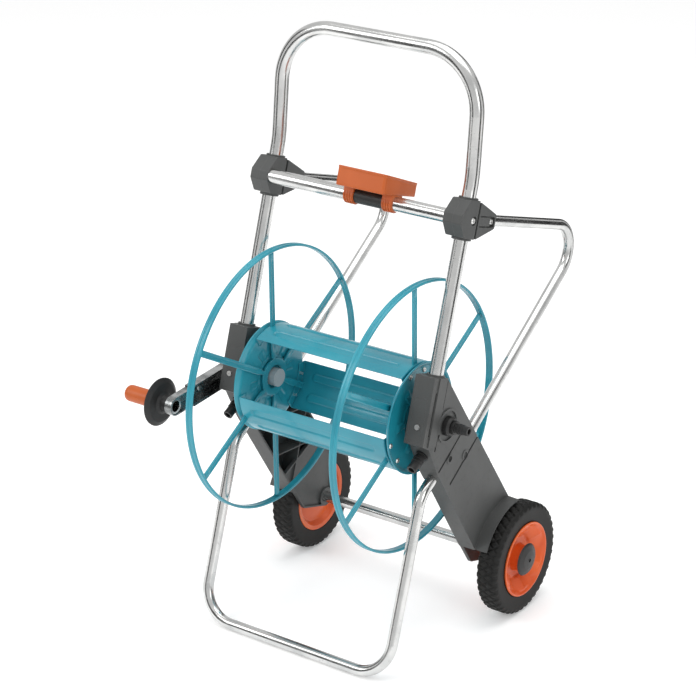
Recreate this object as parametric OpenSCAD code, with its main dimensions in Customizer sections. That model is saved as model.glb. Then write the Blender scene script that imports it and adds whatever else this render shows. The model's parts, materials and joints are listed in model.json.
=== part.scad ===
// Garden hose reel cart: a tubular frame on two wheels carries a reel turned by a side crank.
// Axes: X runs along the reel axis with the crank at -X and the water inlet at +X,
// Y runs from the foot bow to the wheels, and Z is up from the floor at Z = 0.

/* [Overall] */
// Height of the reel axis above the floor
axis_h = 428; // [418:1:460]
// Distance from the middle plane to the centre plane of each side frame
frame_half = 198; // [196:1:240]
// Height of the handle's top bar
handle_top_h = 1035; // [960:1:1250]
// Lean of the handle's lower legs from the vertical, in degrees
lean = 18.5; // [16:0.5:20]
// Lean of the handle's upper legs from the vertical, in degrees
top_lean = 6.4; // [3:0.1:12]

/* [Tubes] */
// Outer diameter of the handle tube and of the cross tube
handle_d = 25; // [20:0.5:26]
// Outer diameter of the foot tube and of the rear struts
strut_d = 20; // [16:0.5:22]
// Wall thickness of every frame tube
tube_wall = 1.5; // [1:0.1:2.5]
// Bend radius of the handle's top corners
handle_bend_r = 100; // [60:1:120]
// Bend radius of the foot bow's floor corners
foot_bend_r = 62; // [40:1:75]
// Bend radius of the rear struts
strut_bend_r = 52; // [35:1:60]

/* [Reel] */
// Radius of the rim's centre line
rim_r = 236; // [200:1:237]
// Width of the rim band along the axis
rim_w = 14; // [8:0.5:18]
// Radial thickness of the rim band
rim_t = 5; // [4:0.5:8]
// Distance from the middle plane to each rim
rim_half = 148.5; // [146:0.5:150]
// Width of a spoke
spoke_w = 12; // [8:0.5:16]
// Outer radius of the end plates
plate_r = 99; // [97:1:112]
// Outer radius of the drum panels
drum_r = 96.5; // [90:0.5:97]
// Angle that each drum panel covers, in degrees
panel_angle = 54; // [48:1:60]
// Thickness of the drum's sheet metal
sheet_t = 1.5; // [1:0.1:2]

/* [Crank] */
// Distance from the reel axis to the grip's axis
crank_r = 180; // [160:1:230]
// Angle of the crank arm below the horizontal, in degrees
crank_tilt = 3; // [0:1:45]
// Height of the crank arm's wide channel
crank_w = 38; // [32:1:42]
// Radius of the guard disc
guard_r = 43; // [30:1:55]
// Radius of the grip
grip_r = 14; // [13.5:0.5:18]
// Length of the grip beyond the guard disc
grip_len = 76; // [60:1:110]

/* [Wheels] */
// Outer radius of the tyres
tyre_r = 103; // [90:1:106]
// Width of the tyres
tyre_w = 42; // [36:1:56]
// Radius of the wheel dish where the tyre sits
dish_r = 69; // [55:1:78]
// Distance of the wheel axle behind the reel axis
axle_y = 192; // [175:1:215]
// Diameter of the axle rod
axle_d = 12; // [10:0.5:13]

/* [Side brackets] */
// Thickness of a side bracket along X
bracket_t = 38; // [34:1:42]
// Wall thickness of the plastic mouldings
wall = 3; // [2.5:0.1:4]
// Angle of the bracket's arm below the horizontal, in degrees
arm_angle = 57.2; // [54:0.2:60]
// Distance from the axle line to the arm's front edge
arm_front = 52.5; // [46:0.5:58]
// Distance from the axle line to the arm's rear edge
arm_rear = 67.5; // [66:0.5:78]

/* [Accessory tray] */
// Length of the tray along the cross tube
tray_len = 100; // [80:1:140]
// Depth of the tray from front to back
tray_depth = 108; // [80:1:120]
// Height of the tray's front wall
tray_h = 34; // [25:1:45]
// Distance of the tray's centre from the middle plane
tray_x = 29; // [0:1:60]

/* [Hidden] */
$fn = 96;
eps = 0.01;

// Clearances
run_gap = 0.05;          // radial running clearance of turning parts
seat_gap = 0.1;          // radial clearance of a tube or shaft held in plastic
side_gap = 0.5;          // gap between faces that turn past each other

// Colours
C_ZINC = [0.86, 0.86, 0.85];
C_PLASTIC = [0.28, 0.29, 0.29];
C_BLACK = [0.10, 0.10, 0.10];
C_TEAL = [0.25, 0.62, 0.70];
C_ORANGE = [0.86, 0.38, 0.16];
C_GREY = [0.62, 0.64, 0.65];

// ---------- places in the side view, as [y, z] ----------

handle_front = 40.4;     // handle axis in front of the reel axis, at the reel axis' height
clamp_h = 769;           // height where the strut's line meets the handle's axis
bend_h = 834;            // height of the handle's slight bend
bend_r = 200;            // radius of that slight bend
handle_end_h = 426;      // lower end of the handle tube inside the bracket

function hy(z) = -handle_front + (z - axis_h) * tan(lean);
u_dir = [cos(lean), -sin(lean)];      // square to the handle, rearwards
v_dir = [sin(lean), cos(lean)];       // along the handle, upwards
clamp_c = [hy(clamp_h), clamp_h];
function at_clamp(u, v) = clamp_c + u * u_dir + v * v_dir;
function at_handle(u, z) = [hy(z), z] + u * u_dir;

axle_c = [axle_y, tyre_r];
arm_up = [-cos(arm_angle), sin(arm_angle)];
arm_n = [sin(arm_angle), cos(arm_angle)];
function at_arm(s, w) = axle_c + s * arm_up + w * arm_n;
reel_c = [0, axis_h];

// Foot tube: floor bar, legs that lean with the handle, and a bend into the bracket
foot_y = -160;
foot_lean = 19.1;
foot_top_h = 314;
foot_in_angle = 27;
foot_in_len = 80;
foot_top_bend_r = 45;
foot_top = [foot_y + (foot_top_h - strut_d / 2) * tan(foot_lean), foot_top_h];
foot_end = foot_top + foot_in_len * [cos(foot_in_angle), sin(foot_in_angle)];

// Rear strut: rises from the bracket, turns back and meets the handle's clamp squarely
strut_angle = 33.7;
strut_start = [32, axis_h - 94];
strut_dir = [cos(strut_angle), sin(strut_angle)];
strut_len = (clamp_c - strut_start) * v_dir / (strut_dir * v_dir);
strut_corner = strut_start + strut_len * strut_dir;
strut_tip_u = 17;

// ---------- small helpers ----------

function unit(v) = v / norm(v);
function at_x(x, p) = [x, p[0], p[1]];

// Extrudes a side-view outline [y, z] along X from x0 to x1
module side_slab(x0, x1) {
    translate([x0, 0, 0]) rotate([90, 0, 90]) linear_extrude(x1 - x0) children();
}

// Round bar along X, centred on the side-view point p
module bar_x(p, x0, x1, r) {
    translate([x0, p[0], p[1]]) rotate([0, 90, 0]) cylinder(h = x1 - x0, r = r);
}

// Ring along X
module ring_x(p, x0, x1, r_out, r_in) {
    difference() {
        bar_x(p, x0, x1, r_out);
        bar_x(p, x0 - 1, x1 + 1, r_in);
    }
}

// Turns a [radius, x] outline about the X direction through the side-view point p
module revolve_x(p) {
    translate([0, p[0], p[1]]) rotate([0, 90, 0]) rotate_extrude() children();
}

// Round bar between two points
module bar(a, b, r) {
    tube_straight(a, b, r, 0);
}

module tube_section(r, r_in) {
    difference() {
        circle(r);
        if (r_in > 0) circle(r_in);
    }
}

// Straight length of tube between two points
module tube_straight(a, b, r, r_in) {
    w = unit(b - a);
    side = abs(w[0]) < 0.9 ? [1, 0, 0] : [0, 1, 0];
    e1 = unit(cross(side, w));
    e2 = cross(w, e1);
    multmatrix([
        [e1[0], e2[0], w[0], a[0]],
        [e1[1], e2[1], w[1], a[1]],
        [e1[2], e2[2], w[2], a[2]],
        [0, 0, 0, 1]
    ]) linear_extrude(norm(b - a)) tube_section(r, r_in);
}

// Bent length of tube from t1 to t2 about the centre c
module tube_bend(t1, t2, c, bend, r, r_in) {
    e1 = unit(t1 - c);
    e3 = unit(cross(t1 - c, t2 - c));
    e2 = cross(e3, e1);
    turn = acos(unit(t1 - c) * unit(t2 - c));
    multmatrix([
        [e1[0], e2[0], e3[0], c[0]],
        [e1[1], e2[1], e3[1], c[1]],
        [e1[2], e2[2], e3[2], c[2]],
        [0, 0, 0, 1]
    ]) rotate_extrude(angle = turn) translate([bend, 0]) tube_section(r, r_in);
}

// Half of the angle at corner i of the path p, and the length of tube that its bend takes
function half_corner(p, i) = acos(unit(p[i - 1] - p[i]) * unit(p[i + 1] - p[i])) / 2;
function bend_len(p, bends, i) =
    i == 0 || i == len(p) - 1 ? 0 : bends[i - 1] / tan(half_corner(p, i));
function bend_start(p, bends, i) = p[i] + bend_len(p, bends, i) * unit(p[i - 1] - p[i]);
function bend_end(p, bends, i) = p[i] + bend_len(p, bends, i) * unit(p[i + 1] - p[i]);

// Tube that follows the points p, with one bend radius for each inner point.
// Each straight laps over its bends, and a bend's wall is a hair thinner, as a drawn bend's is.
bend_lap = 1;
bend_thinning = 0.05;
module bent_tube(p, bends, r, r_in) {
    last = len(p) - 1;
    for (i = [0 : last - 1]) {
        along = unit(p[i + 1] - p[i]) * bend_lap;
        a = i == 0 ? p[0] : bend_end(p, bends, i) - along;
        b = i == last - 1 ? p[last] : bend_start(p, bends, i + 1) + along;
        tube_straight(a, b, r, r_in);
    }
    for (i = [1 : last - 1]) {
        middle = unit(unit(p[i - 1] - p[i]) + unit(p[i + 1] - p[i]));
        c = p[i] + middle * bends[i - 1] / sin(half_corner(p, i));
        tube_bend(bend_start(p, bends, i), bend_end(p, bends, i), c, bends[i - 1],
                  r - bend_thinning, r_in + bend_thinning);
    }
}

// Outline with its corners cut by short arcs: r gives one radius for each point
function arc_corner(a, b, c, r, n) =
    let (
        u = unit(a - b),
        w = unit(c - b),
        half = acos(u * w) / 2,
        centre = b + unit(u + w) * r / sin(half),
        t1 = b + u * r / tan(half) - centre,
        t2 = b + w * r / tan(half) - centre,
        turn = 180 - 2 * half
    )
    [for (k = [0 : n]) centre + (sin(turn * (1 - k / n)) * t1 + sin(turn * k / n) * t2) / sin(turn)];
function rounded(p, r, n = 4) = [
    for (i = [0 : len(p) - 1])
        let (a = p[(i + len(p) - 1) % len(p)], c = p[(i + 1) % len(p)])
        for (q = r[i] > 0 ? arc_corner(a, p[i], c, r[i], n) : [p[i]]) q
];

// Outline moved inwards by t, for points that run anticlockwise
function turn_left(d) = [-d[1], d[0]];
function inset(p, t) = [
    for (i = [0 : len(p) - 1])
        let (
            d1 = unit(p[i] - p[(i + len(p) - 1) % len(p)]),
            d2 = unit(p[(i + 1) % len(p)] - p[i]),
            n1 = turn_left(d1),
            n2 = turn_left(d2)
        )
        p[i] + (n1 + n2) * t / (1 + n1 * n2)
];

// Mirrors a right-hand part to the left side
module on_side(s) {
    if (s > 0) children();
    else mirror([1, 0, 0]) children();
}

// Pan head screw along X: the head's underside is at x, and the shank points to -X
module screw_x(p, x, shank_r, shank_len, head_r, head_h) {
    bar_x(p, x - shank_len, x + eps, shank_r);
    difference() {
        revolve_x(p) polygon([
            [0, x], [head_r, x], [head_r, x + head_h * 0.45], [head_r * 0.7, x + head_h], [0, x + head_h]
        ]);
        for (a = [0, 90])
            translate([x + head_h, p[0], p[1]]) rotate([a, 0, 0])
                cube([head_h, head_r * 1.1, head_r * 0.24], center = true);
    }
}

// ---------- frame tubes ----------

handle_path = [
    at_x(frame_half, [hy(handle_end_h), handle_end_h]),
    at_x(frame_half, [hy(bend_h), bend_h]),
    at_x(frame_half, [hy(bend_h) + (handle_top_h - bend_h) * tan(top_lean), handle_top_h]),
    at_x(-frame_half, [hy(bend_h) + (handle_top_h - bend_h) * tan(top_lean), handle_top_h]),
    at_x(-frame_half, [hy(bend_h), bend_h]),
    at_x(-frame_half, [hy(handle_end_h), handle_end_h])
];
foot_path = [
    at_x(frame_half, foot_end),
    at_x(frame_half, foot_top),
    at_x(frame_half, [foot_y, strut_d / 2]),
    at_x(-frame_half, [foot_y, strut_d / 2]),
    at_x(-frame_half, foot_top),
    at_x(-frame_half, foot_end)
];

clamp_screw_r = 3;
clamp_screw_us = [0, 61];    // places of the clamp's two screws along its u direction
tube_screw_z = 500;          // height of the screw that locks the handle in the bracket

module handle_tube() {
    color(C_ZINC) difference() {
        bent_tube(handle_path, [bend_r, handle_bend_r, handle_bend_r, bend_r],
                  handle_d / 2, handle_d / 2 - tube_wall);
        for (s = [-1, 1]) on_side(s) {
            bar_x(at_clamp(0, 0), frame_half - handle_d, frame_half + handle_d, clamp_screw_r + seat_gap);
        }
    }
}

cross_u = -(handle_d + 1);
cross_v = 1.5;
cross_c = at_clamp(cross_u, cross_v);
cross_end = frame_half + 7;

module cross_tube() {
    color(C_ZINC) tube_straight(at_x(-cross_end, cross_c), at_x(cross_end, cross_c),
                                handle_d / 2, handle_d / 2 - tube_wall);
}

module foot_tube() {
    color(C_ZINC) bent_tube(foot_path, [foot_top_bend_r, foot_bend_r, foot_bend_r, foot_top_bend_r],
                            strut_d / 2, strut_d / 2 - tube_wall);
}

module strut(s) {
    path = [
        at_x(frame_half, strut_start),
        at_x(frame_half, strut_corner),
        at_x(frame_half, at_clamp(strut_tip_u, 0))
    ];
    color(C_ZINC) on_side(s) difference() {
        bent_tube(path, [strut_bend_r], strut_d / 2, strut_d / 2 - tube_wall);
        bar_x(at_clamp(clamp_screw_us[1], 0), frame_half - strut_d, frame_half + strut_d,
              clamp_screw_r + seat_gap);
        bar_x(boss_points[1], frame_half - strut_d, frame_half + strut_d, pilot_r);
    }
}

// ---------- handle clamps ----------

clamp_half_t = 18;       // thickness of each clamp shell
clamp_lip = 3;           // height of the stepped lips where the handle passes
clamp_groove_u = [10, 15];
clamp_groove_depth = 6;
lug_tip_u = 70;

body_outline = [
    [-39, 9], [-19, 34], [10, 34], [10, -31], [-22, -29], [-39, -7]
];
lug_outline = [
    [10, 31], [16, 31], [lug_tip_u, 13], [lug_tip_u, -11], [16, -30], [10, -30]
];
function on_clamp(p) = [for (q = p) at_clamp(q[0], q[1])];

// One shell between the planes x0 and x1; the groove and the recess are cut into the face at x_face
module clamp_shell(x0, x1, x_face, outside) {
    cut = x_face > frame_half ? -1 : 1;
    difference() {
        union() {
            side_slab(x0, x1) polygon(on_clamp(rounded(body_outline, [4, 5, 0, 0, 6, 4])));
            side_slab(x0, x1) polygon(on_clamp(rounded(lug_outline, [0, 0, 5, 5, 0, 0])));
            intersection() {
                bar(at_x(frame_half, at_clamp(0, -31 - clamp_lip)), at_x(frame_half, at_clamp(0, 34 + clamp_lip)),
                    handle_d / 2 + 4);
                side_slab(x0, x1) polygon(on_clamp([[-30, 60], [30, 60], [30, -60], [-30, -60]]));
            }
        }
        bar(at_x(frame_half, at_clamp(0, -60)), at_x(frame_half, at_clamp(0, 60)), handle_d / 2 + seat_gap);
        bar(at_x(frame_half, at_clamp(strut_tip_u - 1, 0)), at_x(frame_half, at_clamp(90, 0)),
            strut_d / 2 + seat_gap);
        bar_x(cross_c, frame_half - 40, cross_end + side_gap, handle_d / 2 + seat_gap);
        side_slab(x_face + min(cut * clamp_groove_depth, 0) - (cut > 0 ? 1 : 0),
                  x_face + max(cut * clamp_groove_depth, 0) + (cut < 0 ? 1 : 0))
            polygon(on_clamp([
                [clamp_groove_u[0], 60], [clamp_groove_u[1], 60],
                [clamp_groove_u[1], -60], [clamp_groove_u[0], -60]
            ]));
        for (u = clamp_screw_us)
            bar_x(at_clamp(u, 0), x0 - 1, x1 + 1, clamp_screw_r + seat_gap);
        if (outside) clamp_recesses(x1);
    }
}

recess_depth = 3;
pocket_depth = 5;
module clamp_recesses(x) {
    bar_x(at_clamp(clamp_screw_us[0], 0), x - recess_depth, x + 1, 8);
    for (v = [-8.5, 8.5])
        side_slab(x - recess_depth, x + 1) polygon(on_clamp([
            [19, v + 1.2], [lug_tip_u - 17, v + 1.2], [lug_tip_u - 17, v - 1.2], [19, v - 1.2]
        ]));
    side_slab(x - pocket_depth, x + 1) polygon(on_clamp([
        [lug_tip_u - 18, 9.7], [lug_tip_u - 3, 8], [lug_tip_u - 3, -8], [lug_tip_u - 18, -9.7]
    ]));
}

module clamp_outer(s) {
    color(C_PLASTIC) on_side(s)
        clamp_shell(frame_half, frame_half + clamp_half_t, frame_half + clamp_half_t, true);
}

module clamp_inner(s) {
    color(C_PLASTIC) on_side(s)
        clamp_shell(frame_half - clamp_half_t, frame_half, frame_half - clamp_half_t, false);
}

module clamp_screws() {
    color(C_ZINC) for (s = [-1, 1]) on_side(s) {
        screw_x(at_clamp(clamp_screw_us[0], 0), frame_half + clamp_half_t - recess_depth,
                clamp_screw_r, 2 * clamp_half_t - recess_depth, 5.5, 3);
        screw_x(at_clamp(clamp_screw_us[1], 0), frame_half + clamp_half_t - pocket_depth,
                clamp_screw_r, 2 * clamp_half_t - pocket_depth, 5.5, 3);
    }
}

// ---------- side brackets ----------

bracket_x1 = frame_half + bracket_t / 2 - 3;      // outer face
bracket_x0 = bracket_x1 - bracket_t + 4;          // inner edge of the walls
plate_x0 = bracket_x1 - bracket_t;                // inner face of the closing plate
fold_r = tyre_r + 8;                              // where the arm folds out over the wheel
guard_t = 3;
guard_out = 24;                                   // width of the guard over the tyre
arm_web_x = bracket_x0 + wall + 4;                // outer face of the arm's tail beside the wheel
arm_flare = 5;                                    // how much the arm spreads forward towards the wheel
arm_front_low = arm_front + arm_flare;
axle_boss_r = 18;
shaft_r = 13;
bush_r = 17;
shaft_boss_r = 22;
block_top_h = 518;
block_front = 27;                                 // front face of the block ahead of the handle's axis
block_rear = 12;

fold_front = asin(arm_front_low / fold_r);            // angles from the arm's middle to its edges at the fold
fold_rear = asin(arm_rear / fold_r);
shoulder = at_arm(322, -arm_front);
block_low = at_handle(-block_front, axis_h - 21);
block_chin = at_handle(-block_front + 21, axis_h - 26);
block_outline = [
    at_handle(-block_front, block_top_h),
    block_low,
    block_chin,
    shoulder,
    at_arm(60, -arm_front_low),
    at_arm(60, arm_rear),
    at_handle(block_rear, block_top_h)
];
tail_inset = wall - 1;
arm_tail = [
    at_arm(150, -arm_front_low + tail_inset),
    at_arm(41, -arm_front_low + tail_inset),
    at_arm(-12, -13),
    at_arm(-12, 13),
    at_arm(50, arm_rear - tail_inset),
    at_arm(130, arm_rear - tail_inset)
];

// Thin rib between two side-view points
module rib(a, b, x0, x1, t = 2.2) {
    n = turn_left(unit(b - a)) * t / 2;
    side_slab(x0, x1) polygon([a + n, a - n, b - n, b + n]);
}

// Solid block around a tube that ends in the bracket, later bored to the tube's size
module socket_block(a, b, r) {
    n = turn_left(unit(b - a)) * r;
    side_slab(bracket_x0 - 1, bracket_x1) polygon([a + n, a - n, b - n, b + n]);
}

module bracket_shell() {
    difference() {
        side_slab(bracket_x0, bracket_x1) polygon(block_outline);
        side_slab(bracket_x0 - 1, bracket_x1 - wall) polygon(inset(block_outline, wall));
        bar_x(axle_c, bracket_x0 - 2, bracket_x1 + 2, fold_r - guard_t / 2);
    }
}

module bracket_ribs() {
    rib(at_arm(300, -arm_front + 1), at_arm(205, arm_rear - 1), bracket_x0, bracket_x1 - 1);
    rib(at_arm(205, -arm_front + 1), at_arm(300, arm_rear - 1), bracket_x0, bracket_x1 - 1);
    rib(at_arm(205, -arm_front + 1), at_arm(113, arm_rear - 1), bracket_x0, bracket_x1 - 1);
    rib(at_arm(113, -arm_front + 1), at_arm(205, arm_rear - 1), bracket_x0, bracket_x1 - 1);
}

module bracket_tail() {
    difference() {
        side_slab(bracket_x0, arm_web_x) polygon(arm_tail);
        side_slab(bracket_x0 - 1, arm_web_x - wall) polygon(inset(arm_tail, wall));
    }
    bar_x(axle_c, bracket_x0, arm_web_x, axle_boss_r);
}

guard_inset = 0.6;       // angle by which the guard's ends lie inside the arm's walls
guard_a0 = 180 - arm_angle + fold_front - guard_inset;
guard_a1 = 180 - arm_angle - fold_rear + guard_inset;
module wheel_guard() {
    translate([arm_web_x - 1, axle_c[0], axle_c[1]]) rotate([90, 0, 90]) rotate([0, 0, guard_a1])
        rotate_extrude(angle = guard_a0 - guard_a1)
            polygon([
                [fold_r - guard_t, 0], [fold_r, 0],
                [fold_r, bracket_x1 - arm_web_x + 1], [fold_r - 1, bracket_x1 - arm_web_x + guard_out],
                [fold_r - guard_t, bracket_x1 - arm_web_x + guard_out]
            ]);
}

slot_depth = 2.2;
module slot_cut(a, b, t = 4) {
    rib(a, b, bracket_x1 - slot_depth, bracket_x1 + 6, t);
}

// Blocks that hold the ends of the three tubes, kept inside the bracket's outline
module tube_sockets() {
    foot_dir = unit(foot_end - foot_top);
    intersection() {
        side_slab(bracket_x0, bracket_x1 - wall / 2) polygon(inset(block_outline, wall / 2));
        union() {
            socket_block(at_handle(0, handle_end_h - 8), at_handle(0, block_top_h + 9), handle_d / 2 + wall);
            socket_block(foot_top - 30 * foot_dir, foot_end + 4 * foot_dir, strut_d / 2 + wall);
            socket_block(strut_start - 4 * strut_dir, strut_start + 90 * strut_dir, strut_d / 2 + wall);
        }
    }
}

ridge_h = 1.8;
ring_r = 30;
ring_h = 2.5;
boss_points = [foot_end + [-7, 12], strut_start + 30 * strut_dir];
screw_r = 2.5;
pilot_r = screw_r + seat_gap;
pilot_depth = 12;
band_gap = 25;           // half the distance between the two long slots

module bracket(s) {
    band = strut_dir;
    band_c = at_arm(301, 10);
    band_n = turn_left(band);
    color(C_PLASTIC) on_side(s) difference() {
        union() {
            bracket_shell();
            bracket_ribs();
            bracket_tail();
            wheel_guard();
            tube_sockets();
            bar_x(reel_c, bracket_x0, bracket_x1 + eps, shaft_boss_r);
            ring_x(reel_c, bracket_x1 - eps, bracket_x1 + ring_h, ring_r, ring_r - 4);
            rib(at_handle(0, axis_h - 22), at_handle(0, block_top_h), bracket_x1 - eps, bracket_x1 + ridge_h, 24);
            bar(at_x(frame_half, at_handle(0, block_top_h - 4)), at_x(frame_half, at_handle(0, block_top_h + 3)),
                handle_d / 2 + 3);
            for (p = boss_points) bar_x(p, bracket_x0, bracket_x1 + 1.2, 9);
        }
        bar(at_x(frame_half, at_handle(0, handle_end_h)), at_x(frame_half, at_handle(0, block_top_h + 60)),
            handle_d / 2 + seat_gap);
        bar(at_x(frame_half, foot_top), at_x(frame_half, foot_end), strut_d / 2 + seat_gap);
        bar(at_x(frame_half, strut_start), at_x(frame_half, strut_start + 160 * strut_dir),
            strut_d / 2 + seat_gap);
        bar_x(reel_c, bracket_x0 - 5, bracket_x1 + 10, bush_r + seat_gap);
        bar_x(axle_c, bracket_x0 - 5, arm_web_x + 5, strut_d / 2 + seat_gap);
        slot_cut(at_handle(-14.5, axis_h + 66), at_handle(-14.5, axis_h - 5));
        slot_cut(at_handle(14.5, axis_h + 92), at_handle(14.5, axis_h + 38));
        slot_cut(at_handle(14.5, axis_h - 1), at_handle(14.5, axis_h - 30));
        slot_cut(band_c + band_gap * band_n - 58 * band, band_c + band_gap * band_n + 32 * band, 4.5);
        slot_cut(band_c - band_gap * band_n - 49 * band, band_c - band_gap * band_n + 66 * band, 5);
        for (p = boss_points) {
            bar_x(p, bracket_x1 - slot_depth, bracket_x1 + 5, 5.5);
            bar_x(p, bracket_x0 - 1, bracket_x1 - 2 * slot_depth, pilot_r);
        }
        cover_space(seat_gap);
        front_bar(pilot_r, pilot_depth, 0);
    }
}

cover_z = [axis_h - 17, axis_h + 54];
cover_t = 2.5;
cover_x = [bracket_x0 + 2, frame_half + 9];
module cover_space(gap) {
    side_slab(cover_x[0] - gap, cover_x[1] + gap) polygon([
        at_handle(-block_front - 1, cover_z[0] - gap),
        at_handle(-block_front + cover_t, cover_z[0] - gap),
        at_handle(-block_front + cover_t, cover_z[1] + gap),
        at_handle(-block_front - 1, cover_z[1] + gap)
    ]);
}

// Screw that points square into the bracket's front face
screw_head_r = 4.6;
screw_head_h = 2.4;
cover_screw = at_handle(-block_front, axis_h + 8);
module front_bar(r, depth, out) {
    bar(at_x(frame_half - 1, cover_screw + depth * u_dir), at_x(frame_half - 1, cover_screw - out * u_dir), r);
}

module bracket_cover(s) {
    color(C_PLASTIC) on_side(s) difference() {
        side_slab(cover_x[0], cover_x[1]) polygon([
            at_handle(-block_front, cover_z[0]), at_handle(-block_front + cover_t, cover_z[0]),
            at_handle(-block_front + cover_t, cover_z[1]), at_handle(-block_front, cover_z[1])
        ]);
        front_bar(pilot_r, pilot_depth, 5);
    }
}

module bracket_plate(s) {
    color(C_PLASTIC) on_side(s) difference() {
        side_slab(plate_x0, bracket_x0) polygon([
            at_handle(-block_front, block_top_h),
            block_low,
            block_chin,
            shoulder,
            at_arm(295, -arm_front),
            at_arm(295, arm_rear),
            at_handle(block_rear, block_top_h)
        ]);
        bar_x(reel_c, plate_x0 - 1, bracket_x0 + 1, bush_r + seat_gap);
        for (p = boss_points) bar_x(p, plate_x0 - 1, bracket_x0 + 1, pilot_r);
    }
}

module bracket_screws() {
    color(C_ZINC) for (s = [-1, 1]) on_side(s) {
        front_bar(screw_r, pilot_depth - 1, 0);
        front_bar(screw_head_r, 0, screw_head_h);
        for (p = boss_points) {
            bar_x(p, plate_x0, bracket_x1 - 2 * slot_depth - 1, screw_r);
            bar_x(p, plate_x0 - screw_head_h, plate_x0 + eps, screw_head_r);
        }
    }
}

// ---------- axle ----------

axle_shift = 12.5;       // how far the axle rod and both wheels stand towards the water inlet
hub_x0 = arm_web_x + axle_shift + side_gap;
wheel_x0 = hub_x0 + 3.5;
wheel_x1 = wheel_x0 + tyre_w;
clip_x = wheel_x1 + side_gap;

module axle_tube() {
    color(C_ZINC) ring_x(axle_c, -arm_web_x, arm_web_x, strut_d / 2, axle_d / 2 + seat_gap);
}

module axle_rod() {
    color(C_GREY) bar_x(axle_c, axle_shift - clip_x - 5, axle_shift + clip_x + 5, axle_d / 2);
}

module axle_clips() {
    color(C_ZINC) translate([axle_shift, 0, 0]) for (s = [-1, 1]) on_side(s)
        ring_x(axle_c, clip_x, clip_x + 2, axle_d / 2 + 5, axle_d / 2);
}

// ---------- wheels ----------

bead_depth = 6;          // depth of the tyre's seat in the wheel

module tyre(s) {
    color(C_BLACK) translate([axle_shift, 0, 0]) on_side(s) revolve_x(axle_c) polygon(rounded([
        [dish_r - bead_depth, wheel_x0 + 8], [dish_r, wheel_x0 + 3], [tyre_r - 4, wheel_x0],
        [tyre_r, wheel_x0 + 5], [tyre_r, wheel_x1 - 5], [tyre_r - 4, wheel_x1],
        [dish_r, wheel_x1 - 3], [dish_r - bead_depth, wheel_x1 - 8]
    ], [0, 2, 3, 3, 3, 3, 2, 0]));
}

wheel_hub_r = 20;
dish_t = 4;
module wheel(s) {
    color(C_ORANGE) translate([axle_shift, 0, 0]) on_side(s)
        revolve_x(axle_c) polygon([
            [axle_d / 2 + run_gap, hub_x0], [wheel_hub_r, hub_x0], [wheel_hub_r + 3, wheel_x0 + 12],
            [dish_r - bead_depth - 7, wheel_x0 + 16], [dish_r - bead_depth - 4, wheel_x0 + 5],
            [dish_r - 1, wheel_x0 + 1], [dish_r, wheel_x0 + 2.8], [dish_r - bead_depth - 0.2, wheel_x0 + 8],
            [dish_r - bead_depth - 0.2, wheel_x1 - 8], [dish_r, wheel_x1 - 2.8], [dish_r, wheel_x1 + 1],
            [dish_r - 3, wheel_x1 + 1.5], [dish_r - 6, wheel_x1 - 2], [wheel_hub_r + 14, wheel_x0 + 22],
            [wheel_hub_r + 6, wheel_x1 - 6], [wheel_hub_r, wheel_x1 - 1], [axle_d / 2 + run_gap, wheel_x1 - 1]
        ]);
}

cap_r = 30;
cap_h = 7;
cap_hole_r = 3.5;        // hole in the cap's middle where the axle's end shows
module hub_cap(s) {
    base = wheel_x1 - 0.8;
    color(C_PLASTIC) translate([axle_shift, 0, 0]) on_side(s) revolve_x(axle_c) polygon([
        [axle_d / 2 + 7, base], [cap_r - 3, base], [cap_r, base + 1.5], [cap_r - 3, base + 4.5],
        [cap_r - 13, base + cap_h + 1], [cap_hole_r, base + cap_h + 2.5],
        [cap_hole_r, base + cap_h], [axle_d / 2 + 7, base + cap_h - 1]
    ]);
}

// ---------- hose parking nipples and water inlet ----------

park_x = frame_half - 4;
park_dir = turn_left(unit(block_chin - shoulder));
park_root = block_chin + 0.32 * (shoulder - block_chin);
park_len = 34;
park_r = 8.5;
park_flange_t = 3;
function at_park(t) = at_x(park_x, park_root + t * park_dir);

module parking_nipple(s) {
    color(C_BLACK) on_side(s) difference() {
        union() {
            bar(at_park(0), at_park(park_flange_t), park_r + 3);
            bar(at_park(park_flange_t - eps), at_park(park_len), park_r);
            bar(at_park(8), at_park(12), park_r + 1.6);
            bar(at_park(16), at_park(18), park_r + 1.2);
        }
        bar(at_park(4), at_park(park_len + 1), park_r - 3);
    }
}

inlet_x = bracket_x1;
inlet_r = 8;
inlet_bore_r = 5;
module inlet_collar() {
    color(C_BLACK) revolve_x(reel_c) polygon([
        [inlet_r + 2 + seat_gap, inlet_x], [bush_r, inlet_x], [bush_r, inlet_x + 9],
        [bush_r - 2.5, inlet_x + 13], [inlet_r + 2 + seat_gap, inlet_x + 13]
    ]);
}

inlet_len = 44;
module inlet_nipple() {
    color(C_BLACK) difference() {
        union() {
            bar_x(reel_c, inlet_x - 5, inlet_x + 18, inlet_r + 2);
            bar_x(reel_c, inlet_x - 5, inlet_x - 1, bush_r);
            bar_x(reel_c, inlet_x + 17, inlet_x + inlet_len, inlet_r);
            bar_x(reel_c, inlet_x + 15, inlet_x + 19, inlet_r + 4);
            bar_x(reel_c, inlet_x + 25, inlet_x + 28, inlet_r + 1.6);
            bar_x(reel_c, inlet_x + 31, inlet_x + 33, inlet_r + 1.2);
        }
        bar_x(reel_c, inlet_x - 6, inlet_x + inlet_len + 1, inlet_bore_r);
    }
}

module inlet_seal() {
    color(C_BLACK) ring_x(reel_c, inlet_x - 8, inlet_x - 5, bush_r, inlet_bore_r + 2);
}

// ---------- reel bearings and shafts ----------

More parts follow.
